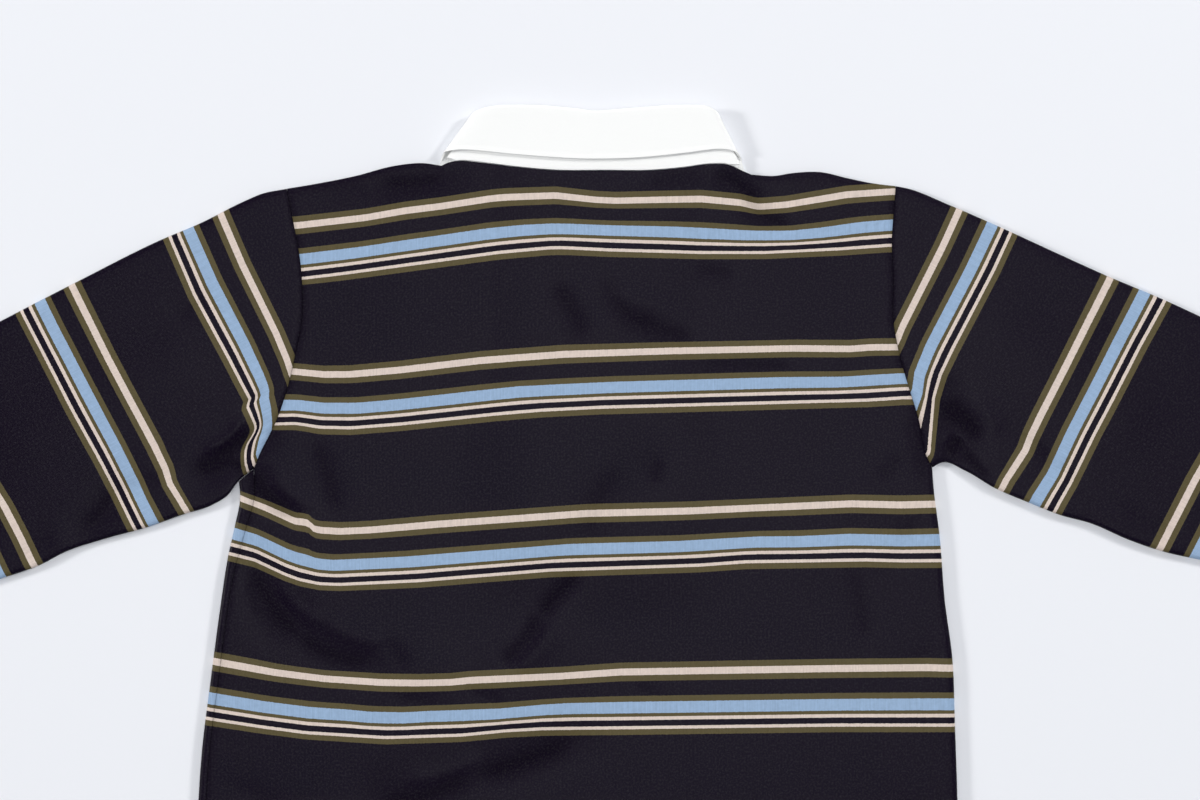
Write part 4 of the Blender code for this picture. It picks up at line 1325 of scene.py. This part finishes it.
TWILL, tree, shader = material("collar_twill")
cloth = uv_map(tree, "cloth")
parts = add_node(tree, "ShaderNodeSeparateXYZ", Vector=cloth)
slant = maths(tree, "ADD", parts.outputs[0], parts.outputs[1])
lines = maths(tree, "SINE", maths(tree, "MULTIPLY", slant, 2 * math.pi / TWILL_PITCH))
yarn = add_node(tree, "ShaderNodeTexNoise", Vector=cloth, Scale=YARN_GRAINS, Detail=2.0)
height = weighed(tree, *zip((lines, yarn.outputs[0]), TWILL_WEIGHTS))
relief = add_node(tree, "ShaderNodeBump", Height=height, Distance=TWILL_DEPTH, Strength=TWILL_STRENGTH)
tone = weighed(tree, (yarn.outputs[0], 0.03), plus=0.985)
tree.links.new(mixed(tree, "MULTIPLY", WHITE, tone), shader.inputs["Base Color"])
tree.links.new(relief.outputs[0], shader.inputs["Normal"])
print("fabrics:", JERSEY.name, RIB.name, TWILL.name)

# %% [markdown]
# The thread has no UV map, so the faint unevenness of thread and buttons is noise in Object coordinates.
# It moves with the piece, whereas noise in world coordinates would stay behind.

# %% Thread and buttons

# columns: material, colour, size of the noise, its detail, its weight, and the shade without it
SMALL_PARTS = (
    ("thread", (0.014, 0.011, 0.022, 1), 1500.0, 1.0, 0.5, 0.8),
    ("button_resin", (0.72, 0.68, 0.58, 1), 220.0, 3.0, 0.25, 0.87),
)
small = {}
for name, colour, grains, detail, weight, base in SMALL_PARTS:
    small[name], tree, shader = material(name)
    place = add_node(tree, "ShaderNodeTexCoord").outputs["Object"]
    noise = add_node(tree, "ShaderNodeTexNoise", Vector=place, Scale=grains, Detail=detail)
    tone = weighed(tree, (noise.outputs[0], weight), plus=base)
    tree.links.new(mixed(tree, "MULTIPLY", colour, tone), shader.inputs["Base Color"])
print("small parts:", ", ".join(small))

# %% [markdown]
# Each new piece now gets its material, and the CAD solid that it stands for is hidden.

# %% Materials and the nodes they replace
DRESSED = (
    (back_cloth, JERSEY, "striped_jersey", "back"),
    (front_cloth, JERSEY, "striped_jersey", "front"),
    (sleeve_left_cloth, JERSEY, "striped_jersey", "sleeve_left"),
    (sleeve_right_cloth, JERSEY, "striped_jersey", "sleeve_right"),
    (placket_cloth, JERSEY, "striped_jersey", "placket"),
    (cuff_left_rib, RIB, "rib", "cuff_left"),
    (cuff_right_rib, RIB, "rib", "cuff_right"),
    (collar_cloth, TWILL, "collar_twill", "collar"),
    *[(piece, small["button_resin"], "button", f"button_{number + 1}")
      for number, piece in enumerate(buttons)],
)
for piece, finish, slot, node in DRESSED:
    piece.data.materials.append(finish)
    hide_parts(node)
for piece in (hem_stitches, placket_stitches):
    piece.data.materials.append(small["thread"])

print("pieces dressed:", len(DRESSED))

# %% [markdown]
# The photograph was taken from straight above, so the camera hangs over the middle of its frame and looks
# straight down. Its lens follows from its height and from the width that the photograph shows. The frame
# cuts off both sleeves and the hem, as the photograph does.

# %% Floor and camera
FLOOR_SIZE = 14.0
FLOOR_DROP = 0.0003
FLOOR_COLOUR = (0.818, 0.828, 0.868, 1)
PHOTO_SIZE = (1200.0, 800.0)
CAMERA_HEIGHT = 2.6
SENSOR = 36.0

floor_mesh = bmesh.new()
bmesh.ops.create_grid(floor_mesh, x_segments=2, y_segments=2, size=FLOOR_SIZE / 2)
floor_piece = to_object(floor_mesh, "floor")
floor_piece.location.z = -FLOOR_DROP
pale, tree, shader = material("pale_board")
shader.inputs["Base Color"].default_value = FLOOR_COLOUR
floor_piece.data.materials.append(pale)

centre = (from_photo(np.array(PHOTO_SIZE) / 2) + SHIFT[:2]) * MM
camera_data = bpy.data.cameras.new("camera")
camera_data.sensor_width = SENSOR
camera_data.lens = SENSOR * CAMERA_HEIGHT / (PHOTO_SIZE[0] * PIXEL * MM)
camera = bpy.data.objects.new("camera", camera_data)
camera.location = (centre[0], centre[1], CAMERA_HEIGHT)
bpy.context.scene.collection.objects.link(camera)
bpy.context.scene.camera = camera
print("lens in mm:", round(camera_data.lens, 1))

# %% [markdown]
# The shadows in the photograph fall on both sides of the shirt and are short, so four broad lamps stand
# round it: one low on the left, one on the right, one beyond the collar and one overhead, whose light the
# dark jersey gives back. A pale world fills the shadows.

# %% Light
WORLD_COLOUR = (0.93, 0.96, 1.0, 1)
WORLD_STRENGTH = 0.272

# columns: name, place, size, power, colour
LAMPS = (
    ("left", (-6.4, 1.2, 2.6), 1.0, 258.0, (1.0, 0.99, 0.97)),
    ("right", (5.4, 3.0, 3.3), 1.2, 215.0, (1.0, 0.99, 0.97)),
    ("top", (0.2, 4.6, 4.0), 2.0, 56.0, (0.98, 0.99, 1.0)),
    ("overhead", (0.1, 0.1, 4.2), 2.2, 56.0, (0.97, 0.985, 1.0)),
)
for name, place, size, power, colour in LAMPS:
    lamp_data = bpy.data.lights.new(name, "AREA")
    lamp_data.shape = "DISK"
    lamp_data.size = size
    lamp_data.energy = power
    lamp_data.color = colour
    lamp = bpy.data.objects.new(name, lamp_data)
    lamp.location = place
    way = Vector((*centre, 0)) - Vector(place)
    lamp.rotation_mode = "QUATERNION"
    lamp.rotation_quaternion = way.to_track_quat("-Z", "Y")
    bpy.context.scene.collection.objects.link(lamp)

world = bpy.data.worlds.new("studio")
world.use_nodes = True
background = world.node_tree.nodes["Background"]
background.inputs["Color"].default_value = WORLD_COLOUR
background.inputs["Strength"].default_value = WORLD_STRENGTH
bpy.context.scene.world = world
bpy.context.scene.view_settings.view_transform = "Standard"
print("lamps:", ", ".join(row[0] for row in LAMPS))
